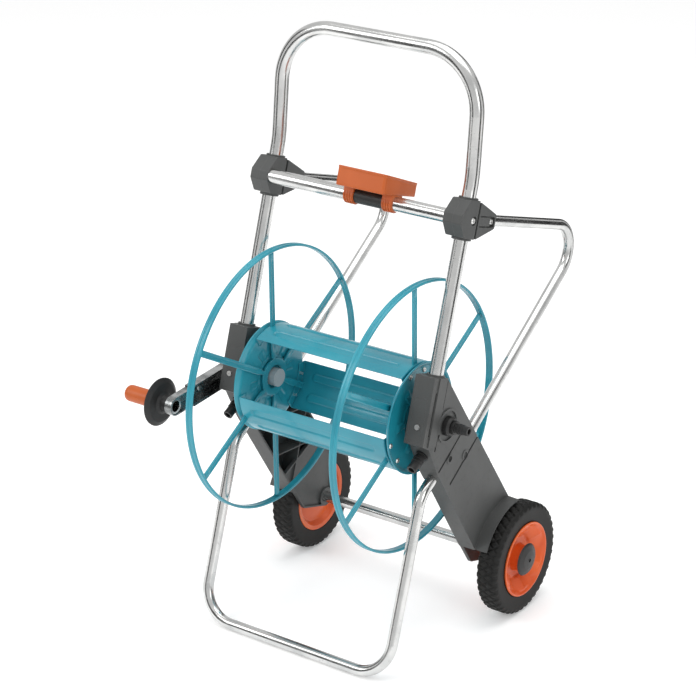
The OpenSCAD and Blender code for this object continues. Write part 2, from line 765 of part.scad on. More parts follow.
bush_x0 = plate_x0 - 3;
bush_x1 = bracket_x1 - 9;
module reel_bush(s) {
    color(C_BLACK) on_side(s) {
        ring_x(reel_c, plate_x0 - eps, bush_x1, bush_r, shaft_r);
        ring_x(reel_c, bush_x0, plate_x0, bush_r + 5, shaft_r);
    }
}

web_x = rim_half + 4;            // inner face of the end plate's web
hub_x = rim_half - 8;            // inner face of the end plate's hub ring
plug_r = 16;
hub_flange_r = 26;
shaft_run_r = shaft_r - run_gap;

module crank_shaft() {
    color(C_GREY) on_side(-1) {
        bar_x(reel_c, hub_x - 4, web_x + 6, plug_r);
        bar_x(reel_c, web_x + sheet_t, web_x + 8, hub_flange_r);
        bar_x(reel_c, web_x + 6, arm_x0 - 1, shaft_run_r);
        bar_x(reel_c, arm_x0 - 2, arm_x1 + 5, 8);
        bar_x(reel_c, arm_x1 + sheet_arm_t, arm_x1 + 8, 10.5);
    }
}

module water_spindle() {
    color(C_BLACK) difference() {
        union() {
            bar_x(reel_c, hub_x - 4, web_x + 6, plug_r);
            bar_x(reel_c, web_x + sheet_t, web_x + 8, hub_flange_r);
            bar_x(reel_c, web_x + 6, bush_x1 + 0.6, shaft_run_r);
        }
        bar_x(reel_c, hub_x - 14, bush_x1 + 2, inlet_bore_r + 2);
    }
}

// Angle fitting inside the drum that feeds the hose through a gap between the panels
elbow_x = hub_x - 24;
elbow_r = 10;
elbow_out = 46;
module water_elbow() {
    color(C_BLACK) difference() {
        union() {
            bar_x(reel_c, elbow_x, hub_x - 4, elbow_r);
            bar_x(reel_c, hub_x - 8, hub_x + 10, inlet_bore_r + 2);
            translate([elbow_x, 0, axis_h]) sphere(r = elbow_r);
            bar([elbow_x, 0, axis_h], [elbow_x, 0, axis_h - elbow_out], inlet_r);
            bar([elbow_x, 0, axis_h - elbow_out + 22], [elbow_x, 0, axis_h - elbow_out + 18], inlet_r + 1.6);
        }
        bar([elbow_x, 0, axis_h], [elbow_x, 0, axis_h - elbow_out - 1], inlet_bore_r);
        bar_x(reel_c, elbow_x, hub_x + 11, inlet_bore_r);
    }
}

// ---------- reel ----------

function around(r, a) = [-r * sin(a), axis_h + r * cos(a)];
SPOKE_ANGLES = [0, 60, 120, 180, 240, 300];
PANEL_ANGLES = [0, 120, 240];
rim_groove = 4;

module rim(s) {
    r0 = rim_r - rim_t / 2;
    r1 = rim_r + rim_t / 2;
    x0 = rim_half - rim_w / 2;
    x1 = rim_half + rim_w / 2;
    color(C_TEAL) on_side(s) revolve_x(reel_c) polygon([
        [r0, x0 + 1], [r0 + 1, x0], [r1 - 1, x0], [r1, x0 + 1],
        [r1, rim_half - rim_groove / 2], [r1 - 1.2, rim_half - rim_groove / 2 + 1],
        [r1 - 1.2, rim_half + rim_groove / 2 - 1], [r1, rim_half + rim_groove / 2],
        [r1, x1 - 1], [r1 - 1, x1], [r0 + 1, x1], [r0, x1 - 1]
    ]);
}

hub_ring_r = 29;
spoke_t = 5;
spoke_x0 = rim_half - spoke_t / 2;
module spokes(s) {
    color(C_TEAL) on_side(s) difference() {
        union() {
            ring_x(reel_c, spoke_x0, spoke_x0 + spoke_t, hub_ring_r + 6, plug_r + 4);
            for (a = SPOKE_ANGLES)
                rib(around(hub_ring_r, a), around(rim_r - rim_t / 2, a), spoke_x0, spoke_x0 + spoke_t, spoke_w);
        }
        for (a = SPOKE_ANGLES)
            rib(around(hub_ring_r + 14, a), around(rim_r - 14, a), spoke_x0 + 3.5, spoke_x0 + spoke_t + 1,
                spoke_w - 5);
    }
}

screw_ring_r = min(drum_r, plate_r - 10) - 6;
screw_offset = 14;
module end_plate(s) {
    x = web_x;
    t = sheet_t;
    color(C_TEAL) on_side(s) difference() {
        revolve_x(reel_c) polygon([
            [plug_r + seat_gap, x], [plate_r - 9, x], [plate_r - 7, x + 1], [plate_r - 4, x + 5],
            [plate_r - 1, x + 6], [plate_r, x + 7.5], [plate_r - 1, x + 9], [plate_r - 5, x + 8],
            [plate_r - 10, x + t + 1], [plate_r - 11, x + t],
            [plug_r + seat_gap, x + t]
        ]);
        for (a = PANEL_ANGLES, b = [-screw_offset, screw_offset])
            bar_x(around(screw_ring_r, a + b), x - 1, x + t + 1, pilot_r);
    }
}

groove_r = 3;
groove_inset = 20;       // distance of the pressed grooves from the panel's ends
panel_end = web_x;
tab_h = drum_r - screw_ring_r + 6.5;   // radial height of the tabs that are screwed to the end plates

// Panel along its own Z axis, with its middle at +X
module panel_blank() {
    rotate([0, 0, -panel_angle / 2]) {
        translate([0, 0, -panel_end]) rotate_extrude(angle = panel_angle)
            translate([drum_r - sheet_t, 0]) square([sheet_t, 2 * panel_end]);
        for (z = [-panel_end, panel_end - sheet_t]) translate([0, 0, z])
            rotate_extrude(angle = panel_angle) translate([drum_r - tab_h, 0]) square([tab_h - 0.5, sheet_t]);
    }
}

module drum_panel(a) {
    notch_w = spoke_w + 2 * side_gap;
    notch_len = panel_end - spoke_x0 + side_gap;
    color(C_TEAL) translate(at_x(0, reel_c)) rotate([a, 0, 0]) rotate([0, 90, 0]) rotate([0, 0, 180])
        difference() {
            panel_blank();
            for (b = [-panel_angle / 5, panel_angle / 5]) rotate([0, 0, b])
                translate([drum_r - 0.5 + groove_r, 0, -panel_end + groove_inset])
                    cylinder(h = 2 * (panel_end - groove_inset), r = groove_r, $fn = 32);
            for (k = [-1, 1]) {
                for (b = [-screw_offset, screw_offset]) rotate([0, 0, b])
                    translate([screw_ring_r, 0, k * panel_end]) cylinder(h = 10, r = pilot_r, center = true);
                translate([drum_r - tab_h - 1, -notch_w / 2, k > 0 ? panel_end - notch_len : -panel_end - 1])
                    cube([tab_h + 2, notch_w, notch_len + 1]);
            }
        }
}

module panel_screws() {
    color(C_ZINC) for (s = [-1, 1]) on_side(s)
        for (a = PANEL_ANGLES, b = [-screw_offset, screw_offset])
            screw_x(around(screw_ring_r, a + b), web_x + sheet_t, screw_r, 9, screw_head_r, screw_head_h);
}

// ---------- crank ----------

// Places a crank piece on the left side, turned down by the crank's tilt
module on_crank() {
    translate(at_x(0, reel_c)) rotate([crank_tilt, 0, 0]) mirror([1, 0, 0])
        translate(-at_x(0, reel_c)) children();
}

sheet_arm_t = 2;
arm_x0 = bracket_x1 + 7;                 // edges of the channel's flanges
arm_x1 = arm_x0 + 15;                    // outer face of the channel's web, less its thickness
inner_arm_len = 136;      // length of the wide channel ahead of the reel axis
outer_arm_start = 94;     // place where the narrow channel begins inside the wide one
rivet_ys = [103, 121];
rivet_r = 2.5;

// Channel that runs from y0 to y1 ahead of the reel axis, with its open side towards the reel
module channel(y0, y1, h, x0, x1, t, round_end) {
    difference() {
        union() {
            side_slab(x0, x1) polygon([
                [-y0, axis_h - h / 2], [-y0, axis_h + h / 2], [-y1, axis_h + h / 2], [-y1, axis_h - h / 2]
            ]);
            if (round_end) bar_x([-y1, axis_h], x0, x1, h / 2);
        }
        side_slab(x0 - 1, x1 - t) polygon([
            [-y0 + 99, axis_h - h / 2 + t], [-y0 + 99, axis_h + h / 2 - t],
            [-y1 - (round_end ? 0 : 99), axis_h + h / 2 - t], [-y1 - (round_end ? 0 : 99), axis_h - h / 2 + t]
        ]);
        if (round_end) bar_x([-y1, axis_h], x0 - 1, x1 - t, h / 2 - t);
    }
}

module crank_arm_inner() {
    color(C_ZINC) on_crank() difference() {
        channel(-20, inner_arm_len, crank_w, arm_x0, arm_x1 + sheet_arm_t, sheet_arm_t, false);
        bar_x(reel_c, arm_x0 - 1, arm_x1 + 9, 8 + seat_gap);
        for (y = rivet_ys) bar_x([-y, axis_h], arm_x0, arm_x1 + 9, rivet_r + seat_gap);
    }
}

outer_arm_h = crank_w - 2 * sheet_arm_t - 0.4;
module crank_arm_outer() {
    color(C_ZINC) on_crank() difference() {
        channel(outer_arm_start, crank_r, outer_arm_h, arm_x0 + 1, arm_x1, sheet_arm_t, true);
        bar_x([-crank_r, axis_h], arm_x0, arm_x1 + 9, spindle_r);
        for (y = rivet_ys) bar_x([-y, axis_h], arm_x0, arm_x1 + 9, rivet_r + seat_gap);
    }
}

module crank_rivets() {
    color(C_ZINC) on_crank() for (y = rivet_ys) {
        bar_x([-y, axis_h], arm_x1 - sheet_arm_t - 1, arm_x1 + sheet_arm_t + 1, rivet_r);
        bar_x([-y, axis_h], arm_x1 - sheet_arm_t - 1.6, arm_x1 - sheet_arm_t, rivet_r + 2);
        bar_x([-y, axis_h], arm_x1 + sheet_arm_t, arm_x1 + sheet_arm_t + 1.6, rivet_r + 2);
    }
}

grip_c = [-crank_r, axis_h];
spindle_r = grip_r - 2.5;
guard_x = arm_x1 + 18;
spindle_end = guard_x + grip_len - 6;
module crank_spindle() {
    color(C_ZINC) on_crank() {
        ring_x(grip_c, arm_x0 + 3, arm_x1 - sheet_arm_t, spindle_r + 2.5, spindle_r - 1.5);
        ring_x(grip_c, arm_x1 - sheet_arm_t - eps, spindle_end, spindle_r, spindle_r - 1.5);
    }
}

module guard_disc() {
    color(C_BLACK) on_crank() revolve_x(grip_c) polygon([
        [spindle_r + run_gap, arm_x1 + 3], [spindle_r + 3, arm_x1 + 3], [spindle_r + 4, guard_x - 6],
        [spindle_r + 9, guard_x - 3],
        [guard_r - 8, guard_x - 1], [guard_r, guard_x + 4], [guard_r - 0.5, guard_x + 6],
        [guard_r - 9, guard_x + 2], [grip_r + 3, guard_x + 1], [grip_r + 2, guard_x + 4],
        [spindle_r + run_gap, guard_x + 4]
    ]);
}

module grip() {
    x0 = guard_x + 4;
    x1 = guard_x + grip_len;
    color(C_ORANGE) on_crank() revolve_x(grip_c) polygon([
        [spindle_r + run_gap, x0], [grip_r, x0], [grip_r + 0.8, x0 + 20], [grip_r + 0.8, x1 - 8],
        [grip_r, x1 - 3.5], [grip_r - 1.5, x1 - 1.2], [grip_r - 4, x1], [0, x1], [0, x1 - 4],
        [spindle_r + run_gap, x1 - 4]
    ]);
}

module grip_cap() {
    color(C_BLACK) on_crank() bar_x(grip_c, spindle_end + 0.4, spindle_end + 1.6, spindle_r - 2);
}

// ---------- accessory tray ----------

tray_front = -46;        // front wall ahead of the cross tube
clip_wall = 2.5;
clip_w = 20;
clip_offset = 39;        // distance of each clip from the tray's centre
tray_v0 = handle_d / 2 + clip_wall - 1;
tray_drop = 10;          // how much lower the tray is at the back
function at_tray(u, v) = cross_c + u * u_dir + v * v_dir;
tray_outline = [
    at_tray(tray_front, tray_v0),
    at_tray(tray_front + tray_depth, tray_v0),
    at_tray(tray_front + tray_depth, tray_v0 + tray_h - tray_drop),
    at_tray(tray_front, tray_v0 + tray_h)
];

module accessory_tray() {
    t = 2.2;
    inner = inset(tray_outline, t);
    lift = 30 * v_dir;
    color(C_ORANGE) difference() {
        side_slab(tray_x - tray_len / 2, tray_x + tray_len / 2) polygon(rounded(tray_outline, [3, 3, 3, 3]));
        side_slab(tray_x - tray_len / 2 + t, tray_x + tray_len / 2 - t)
            polygon([inner[0], inner[1], inner[1] + 2 * lift, inner[0] + 3 * lift]);
    }
}

module tray_clip(s) {
    x0 = tray_x + s * clip_offset - clip_w / 2;
    top = tray_v0;
    color(C_ORANGE) difference() {
        union() {
            bar_x(cross_c, x0, x0 + clip_w, handle_d / 2 + clip_wall);
            side_slab(x0, x0 + clip_w) polygon([
                at_tray(-handle_d / 2 - clip_wall, 0), at_tray(handle_d / 2 + clip_wall, 0),
                at_tray(handle_d / 2 + clip_wall, top), at_tray(-handle_d / 2 - clip_wall, top)
            ]);
            for (k = [0 : 3])
                bar_x(cross_c, x0 + 1 + k * 5, x0 + 3.5 + k * 5, handle_d / 2 + clip_wall + 1);
        }
        bar_x(cross_c, x0 - 1, x0 + clip_w + 1, handle_d / 2);
        side_slab(x0 - 1, x0 + clip_w + 1) polygon([
            at_tray(-40, top), at_tray(40, top), at_tray(40, top + 20), at_tray(-40, top + 20)
        ]);
        side_slab(x0 - 1, x0 + clip_w + 1) polygon([
            at_tray(6, -40), at_tray(14, -40), at_tray(10, -6), at_tray(6, -6)
        ]);
    }
}

module tray_sleeve() {
    half = clip_offset - clip_w / 2;
    color(C_BLACK) ring_x(cross_c, tray_x - half, tray_x + half, handle_d / 2 + 0.9, handle_d / 2);
}

// ---------- drawing ----------

handle_tube();
cross_tube();
foot_tube();
strut(-1);  // strut_left
strut(1);  // strut_right
clamp_outer(-1);  // clamp_outer_left
clamp_inner(-1);  // clamp_inner_left
clamp_outer(1);  // clamp_outer_right
clamp_inner(1);  // clamp_inner_right
clamp_screws();
bracket(-1);  // bracket_left
bracket(1);  // bracket_right
bracket_plate(-1);  // bracket_plate_left
bracket_plate(1);  // bracket_plate_right
bracket_cover(-1);  // bracket_cover_left
bracket_cover(1);  // bracket_cover_right
bracket_screws();
axle_tube();
axle_rod();
axle_clips();
parking_nipple(-1);  // parking_nipple_left
parking_nipple(1);  // parking_nipple_right
reel_bush(-1);  // reel_bush_left
reel_bush(1);  // reel_bush_right
inlet_collar();
inlet_nipple();
inlet_seal();
accessory_tray();
tray_clip(-1);  // tray_clip_left
tray_clip(1);  // tray_clip_right
tray_sleeve();
rim(-1);  // rim_left
rim(1);  // rim_right
spokes(-1);  // spokes_left
spokes(1);  // spokes_right
end_plate(-1);  // end_plate_left
end_plate(1);  // end_plate_right
drum_panel(PANEL_ANGLES[0]);  // drum_panel_top
drum_panel(PANEL_ANGLES[1]);  // drum_panel_front
drum_panel(PANEL_ANGLES[2]);  // drum_panel_rear
panel_screws();
crank_shaft();
water_spindle();
water_elbow();
crank_arm_inner();
crank_arm_outer();
crank_rivets();
crank_spindle();
guard_disc();
grip();
grip_cap();
tyre(-1);  // tyre_left
tyre(1);  // tyre_right
wheel(-1);  // wheel_left
wheel(1);  // wheel_right
hub_cap(-1);  // hub_cap_left
hub_cap(1);  // hub_cap_right
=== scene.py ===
"""Looks of a garden hose reel cart: its finishes, its moulded and pressed surfaces, and a plain studio."""

import json
import logging
import math
from dataclasses import dataclass, field
from enum import Enum
from typing import Any, Optional, Union

import bmesh
import bpy
import numpy as np
from mathutils import Matrix, Vector

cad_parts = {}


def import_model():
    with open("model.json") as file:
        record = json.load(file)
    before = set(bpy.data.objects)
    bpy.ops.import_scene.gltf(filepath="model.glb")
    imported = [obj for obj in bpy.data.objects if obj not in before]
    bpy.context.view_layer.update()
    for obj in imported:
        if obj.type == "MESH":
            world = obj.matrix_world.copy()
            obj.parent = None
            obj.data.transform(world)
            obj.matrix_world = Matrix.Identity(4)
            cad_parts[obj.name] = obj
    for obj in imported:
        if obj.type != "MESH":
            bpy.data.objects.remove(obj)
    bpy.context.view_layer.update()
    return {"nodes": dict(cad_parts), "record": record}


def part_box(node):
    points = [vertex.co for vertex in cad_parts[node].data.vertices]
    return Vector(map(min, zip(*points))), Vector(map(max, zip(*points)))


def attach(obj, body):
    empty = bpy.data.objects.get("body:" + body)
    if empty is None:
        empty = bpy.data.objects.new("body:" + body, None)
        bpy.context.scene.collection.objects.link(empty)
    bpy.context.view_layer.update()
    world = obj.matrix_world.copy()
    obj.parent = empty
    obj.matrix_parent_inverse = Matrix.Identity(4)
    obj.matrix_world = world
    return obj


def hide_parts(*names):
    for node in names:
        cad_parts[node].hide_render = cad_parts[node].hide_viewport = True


LOG = logging.getLogger("hose_cart")
MM = 0.001
TOUCHING = 0.001 * MM
TURN = 2 * math.pi
WHITE = (1.0, 1.0, 1.0, 1.0)

Number = Union[float, "Value"]
Colour = tuple[float, float, float]
Triple = tuple[float, float, float]


class Side(Enum):
    """The cart's two sides: the crank is on the left, towards minus X, and the inlet on the right."""

    LEFT = "left"
    RIGHT = "right"

    @property
    def sign(self) -> float:
        """Direction of the side along X."""
        return -1.0 if self is Side.LEFT else 1.0


# ---------------------------------------------------------------- shader maths


class Value:
    """A number that changes over a surface. Its operators add Math nodes."""

    def __init__(self, graph: "Graph", socket: bpy.types.NodeSocket) -> None:
        """Wraps an output socket.

        Args:
            graph: The graph that the socket is in.
            socket: The output socket.
        """
        self.graph = graph
        self.socket = socket

    def _math(self, operation: str, *values: Number) -> "Value":
        """Adds one Math node."""
        return self.graph.node("ShaderNodeMath", {"operation": operation}, dict(enumerate(values)))

    def __add__(self, other: Number) -> "Value":
        """Sum."""
        return self._math("ADD", self, other)

    def __radd__(self, other: Number) -> "Value":
        """Sum, reflected."""
        return self._math("ADD", other, self)

    def __sub__(self, other: Number) -> "Value":
        """Difference."""
        return self._math("SUBTRACT", self, other)

    def __rsub__(self, other: Number) -> "Value":
        """Difference, reflected."""
        return self._math("SUBTRACT", other, self)

    def __mul__(self, other: Number) -> "Value":
        """Product."""
        return self._math("MULTIPLY", self, other)

    def step(self, low: float, high: float) -> "Value":
        """Rises smoothly from 0 at low to 1 at high."""
        return self.graph.node(
            "ShaderNodeMapRange",
            {"interpolation_type": "SMOOTHSTEP"},
            {"Value": self, "From Min": low, "From Max": high},
        )


class Graph:
    """A material's node tree, with methods that add nodes to it."""

    EDGE_TURN = (0.004, 0.16)
    BEVEL_SAMPLES = 4

    def __init__(self, name: str) -> None:
        """Starts a material.

        Args:
            name: The material's name.
        """
        self.material = bpy.data.materials.new(name)
        self.material.use_nodes = True
        self.tree = self.material.node_tree
        self.tree.nodes.clear()

    def node(
        self,
        kind: str,
        settings: Optional[dict[str, Any]] = None,
        inputs: Optional[dict[Union[int, str], Any]] = None,
        output: Union[int, str] = 0,
    ) -> Value:
        """Adds a node, and returns one of its outputs.

        Args:
            kind: The node's type.
            settings: Properties that are set first.
            inputs: Constants or links, by socket name or number.
            output: The output that is returned, by name or number.

        Returns:
            The output, wrapped.
        """
        made = self.tree.nodes.new(kind)
        for key, value in (settings or {}).items():
            setattr(made, key, value)
        for key, value in (inputs or {}).items():
            socket = made.inputs[key]
            if isinstance(value, Value):
                self.tree.links.new(value.socket, socket)
            else:
                socket.default_value = value
        return Value(self, made.outputs[output])

    def coordinates(self, scale: Triple = (1.0, 1.0, 1.0)) -> Value:
        """Object coordinates, stretched by a scale along each axis."""
        place = self.node("ShaderNodeTexCoord", output="Object")
        return self.node("ShaderNodeMapping", None, {"Vector": place, "Scale": scale})

    def noise(self, scale: float, detail: float = 3.0, stretch: Triple = (1.0, 1.0, 1.0)) -> Value:
        """Cloudy noise from 0 to 1.

        Args:
            scale: Size of the clouds, in repeats a metre.
            detail: Number of finer layers.
            stretch: Scale along each axis before the noise is read.

        Returns:
            The noise's value.
        """
        where = self.coordinates(stretch)
        inputs = {"Vector": where, "Scale": scale, "Detail": detail}
        return self.node("ShaderNodeTexNoise", None, inputs)

    def speckle(self, scale: float) -> Value:
        """Distance to the nearest of many scattered points, as a share of their spacing."""
        where = self.coordinates()
        return self.node("ShaderNodeTexVoronoi", None, {"Vector": where, "Scale": scale})

    def mix(self, share: Number, a: Any, b: Any) -> Value:
        """Mixes two colours.

        Args:
            share: How much of b is used.
            a: Colour at share 0.
            b: Colour at share 1.

        Returns:
            The mixed colour.
        """
        first, second = ((*c, 1.0) if isinstance(c, tuple) else c for c in (a, b))
        inputs = {0: share, 6: first, 7: second}
        return self.node("ShaderNodeMix", {"data_type": "RGBA"}, inputs, output=2)

    def soft_edges(self, radius: float) -> Value:
        """Normal of the surface as if its edges had a small radius, in metres."""
        return self.node("ShaderNodeBevel", {"samples": self.BEVEL_SAMPLES}, {"Radius": radius})

    def edge_mask(self, radius: float) -> Value:
        """1 along sharp edges and 0 on open faces.

        One less the scalar product of the softened normal and the true one is 0 on an open face. It rises
        where the softening turns the normal.
        """
        soft = self.soft_edges(radius)
        true = self.node("ShaderNodeNewGeometry", output="Normal")
        same = self.node(
            "ShaderNodeVectorMath", {"operation": "DOT_PRODUCT"}, {0: soft, 1: true}, output="Value"
        )
        return (1.0 - same).step(*self.EDGE_TURN)

    def bump(self, height: Value, distance: float, strength: float, normal: Value) -> Value:
        """Turns a height into a normal.

        Args:
            height: Height from 0 to 1.
            distance: Real height of 1, in metres.
            strength: Share of the effect.
            normal: Normal that the bumps sit on.

        Returns:
            The bumped normal.
        """
        inputs = {"Height": height, "Distance": distance, "Strength": strength, "Normal": normal}
        return self.node("ShaderNodeBump", None, inputs)

    def finish(self, inputs: dict[Union[int, str], Any]) -> bpy.types.Material:
        """Ends the graph in one Principled shader.

        Args:
            inputs: The shader's constants and links.

        Returns:
            The finished material.
        """
        shader = self.node("ShaderNodeBsdfPrincipled", None, inputs)
        target = self.tree.nodes.new("ShaderNodeOutputMaterial")
        self.tree.links.new(shader.socket, target.inputs["Surface"])
        return self.material


def scaled(colour: Colour, factor: float, lift: float = 0.0) -> Colour:
    """A colour times a factor plus a lift, at most 1 in each part."""
    red, green, blue = (min(1.0, part * factor + lift) for part in colour)
    return red, green, blue


# ---------------------------------------------------------------- finishes
# Noise scales are in repeats a metre, edges and reliefs in metres. Steps and weights were set one by one.


@dataclass(frozen=True)
class BrightSteel:
    """Zinc-plated or drawn steel: bright, with a fine grain, cloudy plating and small scuffs."""

    name: str
    colour: Colour
    shade: Colour
    roughness: float
    cloud: float = 22.0
    grain: float = 900.0
    scuff: float = 160.0
    wave: float = 60.0
    worn: Colour = (0.93, 0.93, 0.92)
    dirt: float = 0.35
    edge: float = 0.5 * MM
    relief: float = 0.06 * MM

    def build(self) -> bpy.types.Material:
        """Makes the material: clouds and scuffs colour it, and its grain and slow waves bump it."""
        g = Graph(self.name)
        clouds = g.noise(self.cloud, 4.0)
        grain = g.noise(self.grain, 2.0)
        scuffs = g.noise(self.scuff, 3.0)
        worn = g.edge_mask(self.edge * 2)
        tone = clouds.step(0.35, 0.68)
        base = g.mix(tone, self.colour, self.shade)
        base = g.mix(scuffs.step(0.62, 0.74) * self.dirt, base, scaled(self.shade, 0.55))
        base = g.mix(worn * 0.4, base, self.worn)
        rough = self.roughness + tone * 0.07 + grain * 0.08 + scuffs.step(0.6, 0.75) * 0.12
        height = grain * 0.6 + g.noise(self.wave, 2.0) * 0.4
        normal = g.bump(height, self.relief, 0.35, g.soft_edges(self.edge))
        return g.finish({"Base Color": base, "Metallic": 1.0, "Roughness": rough, "Normal": normal})


@dataclass(frozen=True)
class PowderCoat:
    """Stoved paint on steel: an even colour with an orange-peel surface, a soft coat and paler edges."""

    name: str
    colour: Colour
    light: Colour
    dusty: Colour
    roughness: float = 0.34
    drift: float = 9.0
    peel: float = 420.0
    dust: float = 70.0
    edge: float = 0.8 * MM
    relief: float = 0.12 * MM
    coat: float = 0.4
    coat_roughness: float = 0.1

    def build(self) -> bpy.types.Material:
        """Makes the material: slow noise shifts the colour, and a close ripple is the orange peel."""
        g = Graph(self.name)
        drift = g.noise(self.drift, 3.0)
        peel = g.noise(self.peel, 1.0)
        dust = g.noise(self.dust, 4.0)
        base = g.mix(drift.step(0.3, 0.7), self.colour, self.light)
        base = g.mix(g.edge_mask(self.edge) * 0.55, base, self.light)
        base = g.mix(dust.step(0.66, 0.8) * 0.25, base, self.dusty)
        inputs = {
            "Base Color": base,
            "Roughness": self.roughness + dust * 0.12 + drift * 0.05,
            "Normal": g.bump(peel, self.relief, 0.25, g.soft_edges(self.edge)),
            "Coat Weight": self.coat,
            "Coat Roughness": self.coat_roughness,
        }
        return g.finish(inputs)


@dataclass(frozen=True)
class MouldedPlastic:
    """Moulded plastic with a fine spark-eroded grain, faint flow marks and paler handled edges."""

    name: str
    colour: Colour
    light: Colour
    roughness: float
    flow: float = 14.0
    flow_stretch: Triple = (1.0, 1.0, 0.4)
    grain: float = 1500.0
    scuff: float = 110.0
    rub: float = 0.5
    edge: float = 0.9 * MM
    relief: float = 0.05 * MM
    index: float = 1.46

    def build(self) -> bpy.types.Material:
        """Makes the material: flow marks shift the colour, edges are paler, and the grain bumps it."""
        g = Graph(self.name)
        flow = g.noise(self.flow, 3.0, self.flow_stretch)
        grain = g.noise(self.grain, 2.0)
        scuffs = g.noise(self.scuff, 4.0)
        base = g.mix(flow.step(0.3, 0.72), self.colour, self.light)
        base = g.mix(g.edge_mask(self.edge) * self.rub, base, scaled(self.light, 1.6, 0.02))
        base = g.mix(scuffs.step(0.64, 0.78) * 0.18, base, scaled(self.colour, 0.6))
        rough = self.roughness + grain * 0.1 + scuffs.step(0.5, 0.8) * 0.08
        normal = g.bump(grain, self.relief, 0.5, g.soft_edges(self.edge))
        return g.finish({"Base Color": base, "Roughness": rough, "Normal": normal, "IOR": self.index})


@dataclass(frozen=True)
class TyreRubber:
    """Solid moulded rubber: almost black and dull, with a dusty bloom and a fine pitted skin."""

    name: str
    colour: Colour
    dust: Colour
    roughness: float = 0.52
    bloom: float = 26.0
    pits: float = 900.0
    skin: float = 700.0
    edge: float = 0.6 * MM
    relief: float = 0.09 * MM
    gloss: float = 0.28

    def build(self) -> bpy.types.Material:
        """Makes the material: dust gathers in slow clouds, and pits roughen the skin."""
        g = Graph(self.name)
        bloom = g.noise(self.bloom, 5.0)
        pits = g.speckle(self.pits)
        skin = g.noise(self.skin, 3.0)
        base = g.mix(bloom.step(0.38, 0.7) * 0.75, self.colour, self.dust)
        base = g.mix(g.edge_mask(self.edge * 2) * 0.45, base, scaled(self.dust, 1.8))
        inputs = {
            "Base Color": base,
            "Roughness": self.roughness + bloom * 0.18 - pits * 0.06,
            "Normal": g.bump(skin * 0.7 + pits * 0.3, self.relief, 0.5, g.soft_edges(self.edge)),
            "Specular IOR Level": self.gloss,
        }
        return g.finish(inputs)


@dataclass(frozen=True)
class StudioFloor:
    """A pale floor of faintly mottled board, with a weak glow that keeps it white."""

    name: str = "studio_floor"
    colour: Colour = (0.95, 0.95, 0.95)
    mottle: float = 2.0
    roughness: float = 0.8
    gloss: float = 0.1
    glow: float = 0.2

    def build(self) -> bpy.types.Material:
        """Makes the material."""
        g = Graph(self.name)
        inputs = {
            "Base Color": g.mix(g.noise(self.mottle, 2.0) * 0.3, self.colour, scaled(self.colour, 0.985)),
            "Roughness": self.roughness,
            "Specular IOR Level": self.gloss,
            "Emission Color": WHITE,
            "Emission Strength": self.glow,
        }
        return g.finish(inputs)


@dataclass
class Finishes:
    """All finishes of the cart. Each one's material is made when it is first asked for."""

    BY_SLOT = {
        "zinc_tube": "tube",
        "zinc_hardware": "hardware",
        "crank_steel": "crank",
        "axle_steel": "axle",
        "grey_plastic": "grey",
        "frame_plastic": "frame",
        "black_plastic": "black",
        "seal_rubber": "seal",
        "orange_plastic": "orange",
        "turquoise_paint": "paint",
        "tyre_rubber": "tyre",
    }

    tube: BrightSteel = BrightSteel("zinc_tube", (0.7, 0.7, 0.69), (0.56, 0.565, 0.56), 0.13)
    hardware: BrightSteel = BrightSteel(
        "zinc_hardware", (0.8, 0.8, 0.78), (0.66, 0.66, 0.65), 0.22, cloud=90.0
    )
    crank: BrightSteel = BrightSteel("crank_steel", (0.5, 0.51, 0.51), (0.2, 0.21, 0.21), 0.18, cloud=45.0)
    axle: BrightSteel = BrightSteel("axle_steel", (0.6, 0.6, 0.59), (0.45, 0.45, 0.44), 0.3)
    grey: MouldedPlastic = MouldedPlastic("grey_plastic", (0.4, 0.43, 0.45), (0.47, 0.5, 0.52), 0.45)
    frame: MouldedPlastic = MouldedPlastic(
        "frame_plastic", (0.052, 0.054, 0.053), (0.066, 0.068, 0.067), 0.42
    )
    black: MouldedPlastic = MouldedPlastic(
        "black_plastic", (0.012, 0.012, 0.012), (0.018, 0.018, 0.018), 0.4
    )
    seal: TyreRubber = TyreRubber("seal_rubber", (0.012, 0.012, 0.012), (0.03, 0.03, 0.03))
    orange: MouldedPlastic = MouldedPlastic(
        "orange_plastic", (0.44, 0.085, 0.01), (0.5, 0.1, 0.014), 0.36, rub=0.28, relief=0.03 * MM
    )
    wheel_orange: MouldedPlastic = MouldedPlastic(
        "wheel_orange", (0.62, 0.078, 0.01), (0.7, 0.115, 0.016), 0.26, rub=0.35, relief=0.02 * MM
    )
    paint: PowderCoat = PowderCoat(
        "turquoise_paint", (0.006, 0.215, 0.29), (0.014, 0.29, 0.375), (0.08, 0.36, 0.42)
    )
    tyre: TyreRubber = TyreRubber("tyre_rubber", (0.006, 0.006, 0.0055), (0.013, 0.0125, 0.0115))
    made: dict[str, bpy.types.Material] = field(default_factory=dict)

    def material(self, name: str) -> bpy.types.Material:
        """Builds a finish once.

        Args:
            name: The field that holds the finish.

        Returns:
            Its material.
        """
        if name not in self.made:
            self.made[name] = getattr(self, name).build()
        return self.made[name]

    def for_slot(self, slot: str) -> bpy.types.Material:
        """The material for one of the record's slots."""
        return self.material(self.BY_SLOT[slot])


def dress(piece: bpy.types.Object, material: bpy.types.Material) -> None:
    """Gives a piece one material in every slot it has, or in a new one."""
    if not piece.data.materials:
        piece.data.materials.append(material)
    for slot in piece.material_slots:
        slot.material = material


def install(piece: bpy.types.Object, material: bpy.types.Material, body: str, node: str) -> None:
    """Puts a made piece in the place of a CAD node.

    Args:
        piece: The piece.
        material: What it is dressed in.
        body: The body that it rides on.
        node: The node that it replaces.
    """
    dress(piece, material)
    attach(piece, body)
    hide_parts(node)
    LOG.info("%s: %d faces", piece.name, len(piece.data.polygons))


# ---------------------------------------------------------------- surfaces


